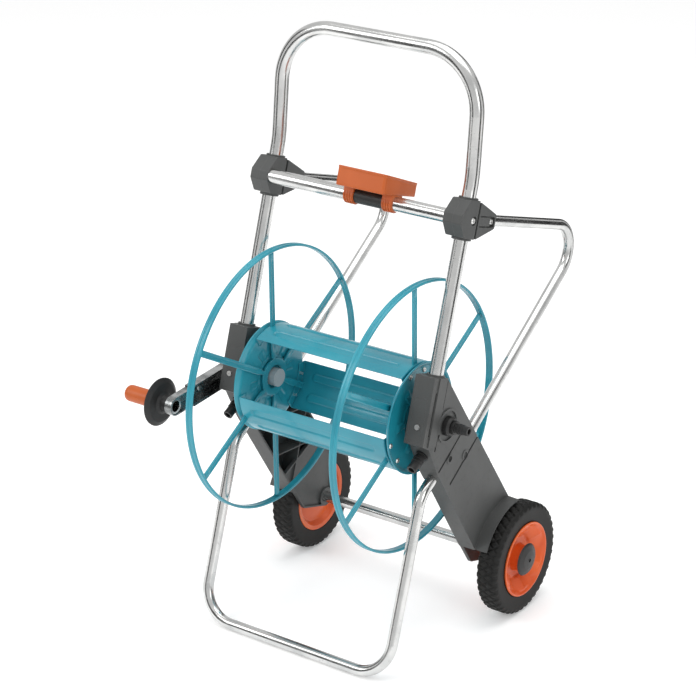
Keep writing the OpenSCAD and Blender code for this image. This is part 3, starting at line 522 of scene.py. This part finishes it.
def linked(name: str, data: bpy.types.ID) -> bpy.types.Object:
    """Makes an object of a mesh, a light or a camera, and links it to the scene."""
    made = bpy.data.objects.new(name, data)
    bpy.context.scene.collection.objects.link(made)
    return made


def surface(name: str, points: np.ndarray, wrap: tuple[bool, bool]) -> bpy.types.Object:
    """Makes a smooth mesh object from a grid of points, with its faces pointing outwards.

    The grid's rows and columns are joined into four-sided faces. Six times a closed surface's signed volume
    is the sum of a scalar triple product over its triangles. Where it is negative the faces are turned round.

    Args:
        name: The object's name.
        points: Array of shape (rows, columns, 3), in metres.
        wrap: Whether the rows and the columns close on themselves.

    Returns:
        The new object, linked to the scene, with coincident points merged.
    """
    rows, columns = points.shape[:2]
    r = np.arange(rows if wrap[0] else rows - 1)
    c = np.arange(columns if wrap[1] else columns - 1)
    low_r, low_c = np.meshgrid(r, c, indexing="ij")
    high_r = (low_r + 1) % rows
    high_c = (low_c + 1) % columns
    places = ((low_r, low_c), (high_r, low_c), (high_r, high_c), (low_r, high_c))
    faces = np.stack([row * columns + column for row, column in places], axis=-1).reshape(-1, 4)
    vertices = points.reshape(-1, 3)
    quads = vertices[faces]
    volume = np.einsum("ij,ij->i", quads[:, 0], np.cross(quads[:, 1], quads[:, 2])).sum()
    volume += np.einsum("ij,ij->i", quads[:, 0], np.cross(quads[:, 2], quads[:, 3])).sum()
    if volume < 0:
        faces = faces[:, ::-1]
    mesh = bpy.data.meshes.new(name)
    mesh.from_pydata(vertices.tolist(), [], faces.tolist())
    merge_points(mesh)
    mesh.polygons.foreach_set("use_smooth", np.ones(len(mesh.polygons), bool))
    mesh.update()
    return linked(name, mesh)


def merge_points(mesh: bpy.types.Mesh) -> None:
    """Merges points that lie together, which closes poles, and drops the faces that shrink to nothing."""
    work = bmesh.new()
    work.from_mesh(mesh)
    bmesh.ops.remove_doubles(work, verts=work.verts, dist=TOUCHING)
    work.to_mesh(mesh)
    work.free()


def joined(name: str, parts: list[bpy.types.Object]) -> bpy.types.Object:
    """Joins separate pieces into one object.

    Args:
        name: The new object's name.
        parts: The pieces, which are used up.

    Returns:
        The joined object.
    """
    work = bmesh.new()
    for part in parts:
        work.from_mesh(part.data)
    mesh = bpy.data.meshes.new(name)
    work.to_mesh(mesh)
    work.free()
    mesh.polygons.foreach_set("use_smooth", np.ones(len(mesh.polygons), bool))
    for part in parts:
        bpy.data.objects.remove(part)
    return linked(name, mesh)


def rounded_loop(corners: np.ndarray, radii: np.ndarray, steps: int = 4) -> np.ndarray:
    """Rounds the corners of a closed outline.

    Each corner becomes a circular arc. It meets both sides at the same distance from the corner, which is
    the radius over the tangent of half the corner's angle. Its points are a spherical blend between the
    directions from the arc's centre to its two ends.

    Args:
        corners: Array of shape (count, 2).
        radii: One radius for each corner.
        steps: Number of parts in each arc.

    Returns:
        Array of shape (count * (steps + 1), 2).
    """
    before = np.roll(corners, 1, axis=0) - corners
    after = np.roll(corners, -1, axis=0) - corners
    before /= np.linalg.norm(before, axis=1, keepdims=True)
    after /= np.linalg.norm(after, axis=1, keepdims=True)
    half = np.arccos(np.clip((before * after).sum(1), -1, 1)) / 2
    middle = before + after
    middle /= np.linalg.norm(middle, axis=1, keepdims=True)
    radii = np.maximum(radii, TOUCHING)
    centre = corners + middle * (radii / np.sin(half))[:, None]
    start = corners + before * (radii / np.tan(half))[:, None] - centre
    end = corners + after * (radii / np.tan(half))[:, None] - centre
    bend = (np.pi - 2 * half)[:, None, None]
    t = np.linspace(0, 1, steps + 1)[None, :, None]
    arc = np.sin((1 - t) * bend) * start[:, None, :] + np.sin(t * bend) * end[:, None, :]
    return (arc / np.sin(bend) + centre[:, None, :]).reshape(-1, 2)


def refined(section: np.ndarray, step: float) -> np.ndarray:
    """Replaces the points of a closed outline by points about a step apart, even along its length."""
    closed = np.vstack([section, section[:1]])
    lengths = np.concatenate([[0.0], np.cumsum(np.linalg.norm(np.diff(closed, axis=0), axis=1))])
    count = int(lengths[-1] / step)
    places = np.linspace(0, lengths[-1], count, endpoint=False)
    return np.stack([np.interp(places, lengths, closed[:, k]) for k in range(2)], axis=1)


def full_turn(steps: int) -> np.ndarray:
    """Angles evenly round one turn, as a column."""
    return np.linspace(0, TURN, steps, endpoint=False)[:, None]


@dataclass
class Axle:
    """A line along X that things turn about, given by its place in Y and Z, in metres."""

    y: float
    z: float

    @staticmethod
    def of(node: str) -> "Axle":
        """The line through the middle of a round CAD node."""
        low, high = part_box(node)
        return Axle((low.y + high.y) / 2, (low.z + high.z) / 2)

    def turned(self, radius: np.ndarray, along: np.ndarray, angle: np.ndarray) -> np.ndarray:
        """Places points by radius, place along X and angle.

        The angle runs from the top towards the front: y is minus radius times sine, z radius times cosine.

        Args:
            radius: Radii, in metres.
            along: Places along X, in metres.
            angle: Angles, in radians.

        Returns:
            The points, with one more axis of length 3.
        """
        radius, along, angle = np.broadcast_arrays(radius, along, angle)
        return np.stack([along, self.y - radius * np.sin(angle), self.z + radius * np.cos(angle)], axis=-1)


def ripple(phase: np.ndarray, width: float, soft: float) -> np.ndarray:
    """1 in a band of the given width around each whole number of phase, and 0 between, with soft edges."""
    away = np.abs((phase + 0.5) % 1.0 - 0.5)
    return 1.0 - smooth((away - width / 2) / soft)


def smooth(t: np.ndarray) -> np.ndarray:
    """Rises from 0 at t = 0 to 1 at t = 1 along three t squared less two t cubed."""
    t = np.clip(t, 0.0, 1.0)
    return t * t * (3 - 2 * t)


def rise(value: np.ndarray, start: float, length: float) -> np.ndarray:
    """0 up to start, and from there rising smoothly to 1 over a length."""
    return smooth((value - start) / length)


def fall(value: np.ndarray, end: float, length: float) -> np.ndarray:
    """0 from end on, and before that falling smoothly from 1 over a length."""
    return smooth((end - value) / length)


# ---------------------------------------------------------------- sub-assemblies


@dataclass
class RoadWheel:
    """One wheel: a solid tyre with a chevron tread, and a dished centre folded into petals."""

    side: Side
    tyre_steps: int = 924
    tyre_height: float = 40 * MM
    blocks: int = 42
    tread_depth: float = 2.2 * MM
    tread_reach: float = 9 * MM
    slant: float = 0.9
    groove: float = 0.2
    groove_soft: float = 0.09
    notch: float = 0.16
    notch_soft: float = 0.1
    notch_start: float = 0.72
    dish_steps: int = 360
    bore: float = 6.3 * MM
    cone_depth: float = 22 * MM
    cone_foot: float = 36 * MM
    cone_inset: float = 5.5 * MM
    petals: int = 6
    petal_depth: float = 7.0 * MM

    def build(self, finishes: Finishes) -> None:
        """Makes and dresses the tyre and the dish.

        Args:
            finishes: The cart's finishes.
        """
        side = self.side.value
        body = f"wheel_{side}"
        install(self.tyre(), finishes.material("tyre"), body, f"tyre_{side}")
        install(self.dish(), finishes.material("wheel_orange"), body, f"wheel_{side}")

    @staticmethod
    def span(node: str) -> tuple[float, float]:
        """Inner and outer place of a node along X, as distances from the middle plane."""
        low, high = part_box(node)
        ends = sorted((abs(low.x), abs(high.x)))
        return ends[0], ends[1]

    def tyre(self) -> bpy.types.Object:
        """The tyre: a rounded section carried round the axle, cut by two crossing sets of slanted grooves.

        A groove's phase is the number of blocks times the angle's share of a turn, plus or minus the place
        across the tread times the slant. The radius falls by the tread's depth where either phase is near a
        whole number. Notches between the blocks cut the tread's two edges in the same way.
        """
        node = f"tyre_{self.side.value}"
        low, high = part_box(node)
        inner, outer = self.span(node)
        rim = (high.z - low.z) / 2
        seat = rim - self.tyre_height
        half = (outer - inner) / 2
        middle = (inner + outer) / 2
        outline = np.array([
            [seat, -half + 7 * MM], [seat + 7 * MM, -half + 1.5 * MM], [rim - 12 * MM, -half],
            [rim, -half + 1 * MM], [rim, half - 1 * MM], [rim - 12 * MM, half],
            [seat + 7 * MM, half - 1.5 * MM], [seat, half - 7 * MM],
        ])
        radii = np.array([1, 2, 12, 8, 8, 12, 2, 1]) * MM
        section = refined(rounded_loop(outline, radii, 5), 1.6 * MM)
        angle = full_turn(self.tyre_steps)
        radius = section[None, :, 0]
        across = section[None, :, 1] / half
        phase = angle / TURN * self.blocks
        rising = ripple(phase + across * self.slant, self.groove, self.groove_soft)
        falling = ripple(phase - across * self.slant + 0.5, self.groove, self.groove_soft)
        at_edge = rise(np.abs(across), self.notch_start, 0.1)
        notches = ripple(phase, self.notch, self.notch_soft) * at_edge
        tread = rise(radius, rim - self.tread_reach, 4 * MM)
        radius = radius - np.maximum(np.maximum(rising, falling), notches) * tread * self.tread_depth
        along = self.side.sign * (middle + section[None, :, 1])
        return surface(f"{node}_skin", Axle.of(node).turned(radius, along, angle), (True, True))

    def dish(self) -> bpy.types.Object:
        """The dished centre: a section carried round the axle, whose cone is folded into flat petals.

        The cone's place along X moves in and out by a zigzag of the angle, with one tooth to a petal, and the
        zigzag fades out at the lip and at the hub.
        """
        node = f"wheel_{self.side.value}"
        low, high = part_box(node)
        inner, outer = self.span(node)
        rim = (high.z - low.z) / 2
        lip = outer - 0.2 * MM
        cap = outer - 3 * MM
        deep = outer - self.cone_depth
        neck = rim - 6.5 * MM
        cone_end = rim - self.cone_inset
        outline = np.array([
            [self.bore, inner], [20 * MM, inner], [23 * MM, inner + 11 * MM],
            [rim - 16 * MM, inner + 15 * MM], [rim - 9 * MM, inner + 6 * MM], [rim, inner + 5 * MM],
            [neck, inner + 13 * MM], [neck, lip - 8 * MM], [rim, lip - 2.5 * MM],
            [rim - 0.3 * MM, lip], [rim - 3 * MM, lip], [cone_end, lip - 3 * MM],
            [self.cone_foot, deep], [25 * MM, deep + 1 * MM], [22 * MM, cap], [self.bore, cap],
        ])
        radii = np.array([0.3, 1, 2, 3, 2, 0.5, 0.5, 0.5, 1, 0.8, 0.8, 1.2, 2.5, 1.5, 1, 0.3]) * MM
        section = refined(rounded_loop(outline, radii, 4), 1.0 * MM)
        angle = full_turn(self.dish_steps)
        radius, along = section[None, :, 0], section[None, :, 1]
        share = (radius - self.cone_foot) / (cone_end - self.cone_foot)
        on_cone = smooth(share * 6) * smooth((1 - share) * 6) * (along > deep - 1 * MM)
        zigzag = np.abs((angle / TURN * self.petals) % 1.0 * 2 - 1)
        along = along + (zigzag - 0.5) * self.petal_depth * on_cone
        points = Axle.of(node).turned(radius, self.side.sign * along, angle)
        return surface(f"{node}_dish", points, (True, True))


@dataclass
class ReelSide:
    """One side of the reel: a rolled rim with a groove, and six pressed spokes."""

    side: Side
    rim_steps: int = 240
    rim_thick: float = 5.0 * MM
    groove_depth: float = 1.1 * MM
    groove_half: float = 2.2 * MM
    spoke_count: int = 6
    spoke_rows: int = 64
    spoke_points: int = 28
    spoke_half: float = 6.0 * MM
    spoke_neck: float = 0.42
    spoke_start: float = 27 * MM
    spoke_inset: float = 4.4 * MM
    channel_depth: float = 1.44 * MM
    hub_inner: float = 20.5 * MM
    hub_outer: float = 34.5 * MM
    hub_steps: int = 96

    def build(self, finishes: Finishes) -> None:
        """Makes and dresses the rim and the spokes.

        Args:
            finishes: The cart's finishes.
        """
        paint = finishes.material("paint")
        install(self.rim(), paint, "reel", f"rim_{self.side.value}")
        install(self.spokes(), paint, "reel", f"spokes_{self.side.value}")

    def rim(self) -> bpy.types.Object:
        """The rim: a rounded strip with a rolled groove in its outer face, carried round the reel's axis."""
        node = f"rim_{self.side.value}"
        low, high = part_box(node)
        outer = (high.z - low.z) / 2
        middle, half = (low.x + high.x) / 2, (high.x - low.x) / 2
        inner, floor = outer - self.rim_thick, outer - self.groove_depth
        g = self.groove_half
        outline = np.array([
            [inner, -half], [outer, -half], [outer, -g], [floor, -g * 0.4], [floor, g * 0.4],
            [outer, g], [outer, half], [inner, half], [inner + 0.6 * MM, 0.0],
        ])
        radii = np.array([2.2, 2.2, 0.7, 0.5, 0.5, 0.7, 2.2, 2.2, 20.0]) * MM
        section = rounded_loop(outline, radii)
        angle = full_turn(self.rim_steps)
        points = Axle.of(node).turned(section[None, :, 0], middle + section[None, :, 1], angle)
        return surface(f"{node}_rolled", points, (True, True))

    def spokes(self) -> bpy.types.Object:
        """The spokes: each a channelled strip from the hub ring to the rim.

        A section is a rounded oblong: the sign of a cosine or sine times its size to a power under one, which
        flattens the sides. Its width narrows towards the hub. The channels in its two broad faces fade out
        before both ends, and the end sections shrink to points, which closes the strip.
        """
        node = f"spokes_{self.side.value}"
        rim_node = f"rim_{self.side.value}"
        low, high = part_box(node)
        rim_low, rim_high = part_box(rim_node)
        axle = Axle.of(rim_node)
        middle, half = (low.x + high.x) / 2, (high.x - low.x) / 2
        start, end = self.spoke_start, (rim_high.z - rim_low.z) / 2 - self.spoke_inset
        radius = start + (end - start) * np.linspace(0, 1, self.spoke_rows)
        width = self.spoke_half * (self.spoke_neck + (1 - self.spoke_neck) * rise(radius, start, 26 * MM))
        channel = rise(radius, start + 20 * MM, 12 * MM) * fall(radius, end - 12 * MM, 8 * MM)
        q = full_turn(self.spoke_points)[:, 0]
        flat = np.sign(np.cos(q)) * np.abs(np.cos(q)) ** 0.55
        tall = np.sign(np.sin(q)) * np.abs(np.sin(q)) ** 0.6
        hollow = np.clip(1 - (np.abs(flat) / 0.62) ** 4, 0, 1) * self.channel_depth * np.sign(tall)
        across = width[:, None] * flat
        out = half * tall - hollow * channel[:, None]
        for grid in (across, out):
            grid[[0, -1]] = 0.0
        centre = np.array([middle, axle.y, axle.z])
        parts = []
        for number in range(self.spoke_count):
            turn = TURN * number / self.spoke_count
            ray = np.array([0.0, -math.sin(turn), math.cos(turn)])
            cross = np.array([0.0, -math.cos(turn), -math.sin(turn)])
            points = centre + radius[:, None, None] * ray + across[..., None] * cross
            points[..., 0] += out
            parts.append(surface(f"spoke_{number}", points, (False, True)))
        parts.append(self.hub_ring(axle, middle, half))
        return joined(f"{node}_pressed", parts)

    def hub_ring(self, axle: Axle, middle: float, half: float) -> bpy.types.Object:
        """The ring that the spokes meet: a rounded band about the axis."""
        inner, outer = self.hub_inner, self.hub_outer
        outline = np.array([[inner, -half], [outer, -half], [outer, half], [inner, half]])
        section = rounded_loop(outline, np.full(4, 1.6 * MM))
        angle = full_turn(self.hub_steps)
        points = axle.turned(section[None, :, 0], middle + section[None, :, 1], angle)
        return surface("hub_ring", points, (True, True))


@dataclass
class EndPlate:
    """One end plate of the drum: a pressed disc with a broad rolled edge and stamped ribs at its middle."""

    side: Side
    steps: int = 360
    sheet: float = 1.5 * MM
    bore: float = 16.2 * MM
    ribs: int = 6
    rib_width: float = 0.17
    rib_soft: float = 0.06
    rib_height: float = 2.4 * MM

    def build(self, finishes: Finishes) -> None:
        """Makes and dresses the plate.

        The plate is one section carried round the axis. Its flat web is pushed outwards, away from the drum,
        by ribs and a lower ring. A rib's height is a band of the angle times a rise and fall over the radius.

        Args:
            finishes: The cart's finishes.
        """
        node = f"end_plate_{self.side.value}"
        low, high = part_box(node)
        rim = (high.z - low.z) / 2
        near, far = RoadWheel.span(node)
        back = near + self.sheet
        outline = np.array([
            [self.bore, near], [rim - 11 * MM, near], [rim - 7 * MM, near + 1.5 * MM],
            [rim - 2.2 * MM, near + 5.4 * MM], [rim, far - 2.2 * MM], [rim - 0.8 * MM, far],
            [rim - 4.5 * MM, far - 0.8 * MM], [rim - 9 * MM, back + 1.4 * MM],
            [rim - 12 * MM, back], [self.bore, back],
        ])
        radii = np.array([0.2, 3.0, 5.0, 3.0, 0.9, 0.7, 2.0, 4.0, 3.0, 0.2]) * MM
        section = refined(rounded_loop(outline, radii), 1.5 * MM)
        angle = full_turn(self.steps)
        radius, along = section[None, :, 0], section[None, :, 1]
        ribs = ripple(angle / TURN * self.ribs + 0.5, self.rib_width, self.rib_soft)
        web = rise(radius, 34 * MM, 5 * MM) * fall(radius, rim - 34 * MM, 9 * MM)
        ring = rise(radius, 37 * MM, 3 * MM) * fall(radius, 44 * MM, 3 * MM) * 0.5
        along = along + np.maximum(ribs, ring) * web * self.rib_height
        points = Axle.of(node).turned(radius, self.side.sign * along, angle)
        piece = surface(f"{node}_pressed", points, (True, True))
        install(piece, finishes.material("paint"), "reel", node)


@dataclass
class DrumPanel:
    """One curved panel of the drum: bent sheet with folded end tabs and two long pressed troughs."""

    place: str
    turn: float
    spread: float = math.radians(54.0)
    across_steps: int = 112
    along_steps: int = 90
    sheet: float = 1.5 * MM
    tab: float = 19.0 * MM
    fold: float = 2.2 * MM
    trough_depth: float = 2.6 * MM
    trough_half: float = 8.0 * MM
    trough_inset: float = 22.0 * MM
    trough_place: float = 0.42
    trough_soft: float = 2.4 * MM

    def build(self, finishes: Finishes) -> None:
        """Makes and dresses the panel.

        A strip runs from one tab's edge, over its fold, along the drum and down the other tab. The strip is
        turned about the axis through the panel's spread, and both faces sink by the troughs' depth. The first
        and last rows bring the two faces together, which closes the sheet's cut edges.

        Args:
            finishes: The cart's finishes.
        """
        node = f"drum_panel_{self.place}"
        low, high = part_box(node)
        axle = Axle.of("rim_right")
        outer = max(high.z - axle.z, axle.y - low.y, high.y - axle.y)
        along, depth = self.strip(high.x - 0.1 * MM)
        angle = np.linspace(-self.spread / 2, self.spread / 2, self.across_steps)
        angle = np.concatenate([angle[:1], angle, angle[-1:]])[:, None]
        open_rows = np.concatenate([[0.0], np.ones(self.across_steps), [0.0]])[:, None]
        mid = self.sheet / 2
        face = mid + np.repeat([-mid, mid], len(along)) * open_rows
        x = np.concatenate([along, along[::-1]])[None, :]
        sunk = np.concatenate([depth, depth[::-1]])[None, :]
        at_end = np.sign(x) * rise(np.abs(x), high.x - 3 * MM, 2.8 * MM)
        on_tab = smooth(sunk / (2.5 * MM))
        radius = outer - sunk - (face + self.trough(x, outer * angle)) * (1 - on_tab)
        points = axle.turned(radius, x - at_end * face * on_tab, angle + self.turn)
        piece = surface(f"{node}_pressed", points, (False, True))
        install(piece, finishes.material("paint"), "reel", node)

    def strip(self, half: float) -> tuple[np.ndarray, np.ndarray]:
        """The strip's outer face, from tab to tab.

        Args:
            half: Half of the panel's length.

        Returns:
            Places along X, and depths below the drum's radius.
        """
        bend = np.linspace(0, np.pi / 2, 6)
        tab = np.linspace(self.tab, self.fold, 6, endpoint=False)[::-1]
        straight = half - self.fold
        flat = np.linspace(0, straight, self.along_steps, endpoint=False)
        x = np.concatenate([flat, straight + self.fold * np.sin(bend), np.full(len(tab), half)])
        depth = np.concatenate([np.zeros(len(flat)), self.fold - self.fold * np.cos(bend), tab])
        return np.concatenate([-x[:0:-1], x]), np.concatenate([depth[:0:-1], depth])

    def trough(self, x: np.ndarray, across: np.ndarray) -> np.ndarray:
        """How far the sheet is pressed in: two slots with round ends, one on each side of the middle."""
        half_length = np.abs(x).max() - self.trough_inset - self.trough_half
        beyond = np.maximum(np.abs(x) - half_length, 0.0)
        offset = across.max() * self.trough_place
        away = np.minimum(np.hypot(beyond, across - offset), np.hypot(beyond, across + offset))
        return fall(away, self.trough_half, self.trough_soft) * self.trough_depth


@dataclass
class Tray:
    """The accessory tray: a moulded tub with rounded walls, a rolled lip and a deeper front."""

    wall: float = 2.2 * MM
    floor_radius: float = 2.5 * MM
    corner: float = 6.0 * MM
    least_corner: float = 1.2 * MM
    lean: float = math.radians(-18.5)
    drop: float = 10.0 * MM
    inset: float = 0.3 * MM
    lip: float = 0.6 * MM
    wall_rows: int = 6

    def build(self, finishes: Finishes) -> None:
        """Makes and dresses the tray.

        The tub is a stack of rounded rectangles. Going out along the floor, up the outer wall, over the lip,
        down the inner wall and in along the inner floor gives one closed skin, whose ends are the floor's
        middle. The walls' top falls evenly from front to back, and the skin leans with the tube's clips.

        Args:
            finishes: The cart's finishes.
        """
        low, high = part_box("accessory_tray")
        c, s = math.cos(self.lean), math.sin(self.lean)
        middle = np.array([low.x + high.x, low.y + high.y, low.z + high.z]) / 2
        depth, height = self.measures(high.y - low.y, high.z - low.z)
        half_x, half_y = (high.x - low.x) / 2 - self.inset, depth / 2 - self.inset
        levels = self.levels(height)
        rows = [self.ring(half_x, half_y, *level) for level in levels]
        ends = [np.broadcast_to([0.0, 0.0, levels[k][1]], rows[0].shape) for k in (0, -1)]
        points = np.stack([ends[0], *rows, ends[1]])
        points[..., 2] -= height / 2
        points[..., 1:] = points[..., 1:] @ np.array([[c, s], [-s, c]])
        piece = surface("accessory_tray_tub", points + middle, (False, True))
        install(piece, finishes.material("orange"), "frame", "accessory_tray")

    def measures(self, span_y: float, span_z: float) -> tuple[float, float]:
        """The leaning tub's own depth and front height, from the sizes of the box round it.

        The box's size along Y is the depth times the lean's cosine plus the height times its sine. Its size
        along Z is the depth times the sine plus the height times the cosine.

        Args:
            span_y: The box's size along Y.
            span_z: The box's size along Z.

        Returns:
            The depth and the front height.
        """
        c, s = math.cos(self.lean), abs(math.sin(self.lean))
        depth, height = np.linalg.solve(np.array([[c, s], [s, c]]), np.array([span_y, span_z]))
        return float(depth), float(height)

    def levels(self, height: float) -> list[Triple]:
        """The tub's rings: how far each is inside the outer wall, its height, and its share of the fall."""
        w, r, lip, middle = self.wall, self.floor_radius, self.lip, 20 * MM
        up = [k / self.wall_rows for k in range(1, self.wall_rows)]
        return [
            (middle, 0.0, 0.0), (r, 0.0, 0.0), (r * 0.3, r * 0.3, 0.0), (lip, r, 0.0),
            *((lip, height * k, k) for k in up),
            (lip, height - 3.4 * MM, 1.0), (0.0, height - 2.8 * MM, 1.0), (0.0, height - 0.8 * MM, 1.0),
            (0.8 * MM, height, 1.0), (w - lip, height, 1.0), (w, height - lip, 1.0),
            *((w, height * k, k) for k in reversed(up)),
            (w, w + r, 0.0), (w + r * 0.3, w + r * 0.3, 0.0), (w + r, w, 0.0), (middle, w, 0.0),
        ]

    def ring(self, half_x: float, half_y: float, shrink: float, level: float, share: float) -> np.ndarray:
        """One rounded rectangle, tilted by its share of the fall from front to back."""
        x, y = half_x - shrink, half_y - shrink
        radius = max(self.corner - shrink, self.least_corner)
        loop = rounded_loop(np.array([[-x, -y], [x, -y], [x, y], [-x, y]]), np.full(4, radius), 6)
        lowered = self.drop * share * (loop[:, 1] / y + 1) / 2
        return np.concatenate([loop, (level - lowered)[:, None]], axis=1)


# ---------------------------------------------------------------- studio


@dataclass
class Studio:
    """A pale floor, soft lights, dark cards that only show in reflections, and the camera.

    The camera's angles are in degrees, its lens and sensor in millimetres, and other lengths in metres. Each
    soft box has a name, a place, a size and a power in watts.
    """

    SOFT_BOXES = (
        ("top", (0.2, 0.3, 3.2), 2.6, 44.0),
        ("key", (-1.9, -2.6, 2.6), 1.8, 42.0),
        ("fill", (3.0, -0.6, 1.7), 1.6, 14.0),
    )
    CARD_TURNS = (118.0, -112.0, 62.0, -64.0, 152.0)

    azimuth: float = 35.714
    elevation: float = 23.179
    roll: float = -0.642
    distance: float = 4.0094
    aim: Triple = (0.008, 0.0057, 0.5175)
    lens: float = 121.57
    sensor: float = 36.0
    floor_size: float = 60.0
    floor_gap: float = 0.5 * MM
    card_distance: float = 2.1
    card_half: float = 0.42
    card_height: float = 1.9
    room_light: float = 0.74

    def build(self) -> None:
        """Makes the whole studio."""
        self.floor()
        self.lights()
        self.cards()
        self.world()
        self.camera()
        bpy.context.scene.view_settings.view_transform = "Standard"

    def directions(self) -> tuple[Vector, Vector, Vector]:
        """The camera's own right, up and backward directions.

        Returns:
            Three unit vectors, worked out from the azimuth, the elevation and the roll.
        """
        az, el, roll = (math.radians(a) for a in (self.azimuth, self.elevation, self.roll))
        back = Vector((math.sin(az) * math.cos(el), -math.cos(az) * math.cos(el), math.sin(el)))
        level = Vector((math.cos(az), math.sin(az), 0.0))
        up = back.cross(level)
        right = level * math.cos(roll) + up * math.sin(roll)
        return right, back.cross(right), back

    def camera(self) -> None:
        """Makes the camera and puts it at its distance from the point that it aims at."""
        right, up, back = self.directions()
        data = bpy.data.cameras.new("camera")
        data.lens = self.lens
        data.sensor_width = self.sensor
        data.clip_end = 100.0
        made = linked("camera", data)
        turn = Matrix((right, up, back)).transposed()
        place = Vector(self.aim) + back * self.distance
        made.matrix_world = Matrix.Translation(place) @ turn.to_4x4()
        bpy.context.scene.camera = made

    @staticmethod
    def sheet(name: str, corners: list[Triple], material: bpy.types.Material) -> bpy.types.Object:
        """Makes one four-sided face that belongs to the studio."""
        mesh = bpy.data.meshes.new(name)
        mesh.from_pydata(corners, [], [(0, 1, 2, 3)])
        made = linked(name, mesh)
        dress(made, material)
        return made

    def floor(self) -> None:
        """Lays the floor just under the tyres."""
        half, z = self.floor_size / 2, -self.floor_gap
        corners = [(-half, -half, z), (half, -half, z), (half, half, z), (-half, half, z)]
        self.sheet("floor", corners, StudioFloor().build())

    def lights(self) -> None:
        """Hangs soft boxes above the cart and on both sides of the camera, all facing the cart's middle."""
        for name, place, size, power in self.SOFT_BOXES:
            data = bpy.data.lights.new(name, "AREA")
            data.size = size
            data.energy = power
            made = linked(name, data)
            made.location = place
            away = Vector(place) - Vector(self.aim)
            made.rotation_euler = away.to_track_quat("Z", "Y").to_euler()

    def cards(self) -> None:
        """Stands tall black cards round the cart, which draw dark lines along bright tubes.

        Each card stands at a turn from the camera's azimuth. Only reflections show the cards.
        """
        black = Graph("black_card").finish({"Base Color": (0.01, 0.01, 0.01, 1.0), "Roughness": 1.0})
        top = Vector((0.0, 0.0, self.card_height))
        for number, turn in enumerate(self.CARD_TURNS):
            angle = math.radians(self.azimuth + turn)
            centre = Vector((math.sin(angle), -math.cos(angle), 0.0)) * self.card_distance
            side = Vector((math.cos(angle), math.sin(angle), 0.0)) * self.card_half
            corners = [centre - side, centre + side, centre + side + top, centre - side + top]
            card = self.sheet(f"card_{number}", [tuple(c) for c in corners], black)
            card.visible_camera = False
            card.visible_shadow = False
            card.visible_diffuse = False

    def world(self) -> None:
        """Fills the room with even white light."""
        world = bpy.data.worlds.new("room")
        world.use_nodes = True
        background = world.node_tree.nodes["Background"]
        background.inputs["Color"].default_value = WHITE
        background.inputs["Strength"].default_value = self.room_light
        bpy.context.scene.world = world


# ---------------------------------------------------------------- assembly


def dress_frame(frame: dict[str, Any], finishes: Finishes) -> None:
    """Gives every CAD node the finish of its slot.

    Args:
        finishes: The cart's finishes.
    """
    for entry in frame["record"]["subparts"]:
        dress(frame["nodes"][entry["node"]], finishes.for_slot(entry["material_slot"]))
        LOG.info("dressed %s in %s", entry["node"], entry["material_slot"])


def main() -> None:
    """Builds the studio and the cart's looks."""
    logging.basicConfig(level=logging.INFO, format="%(name)s: %(message)s")
    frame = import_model()
    finishes = Finishes()
    Studio().build()
    dress_frame(frame, finishes)
    for side in Side:
        RoadWheel(side).build(finishes)
        ReelSide(side).build(finishes)
        EndPlate(side).build(finishes)
    Tray().build(finishes)
    for number, place in enumerate(("top", "front", "rear")):
        DrumPanel(place, TURN * number / 3).build(finishes)


if __name__ == "__main__":
    main()
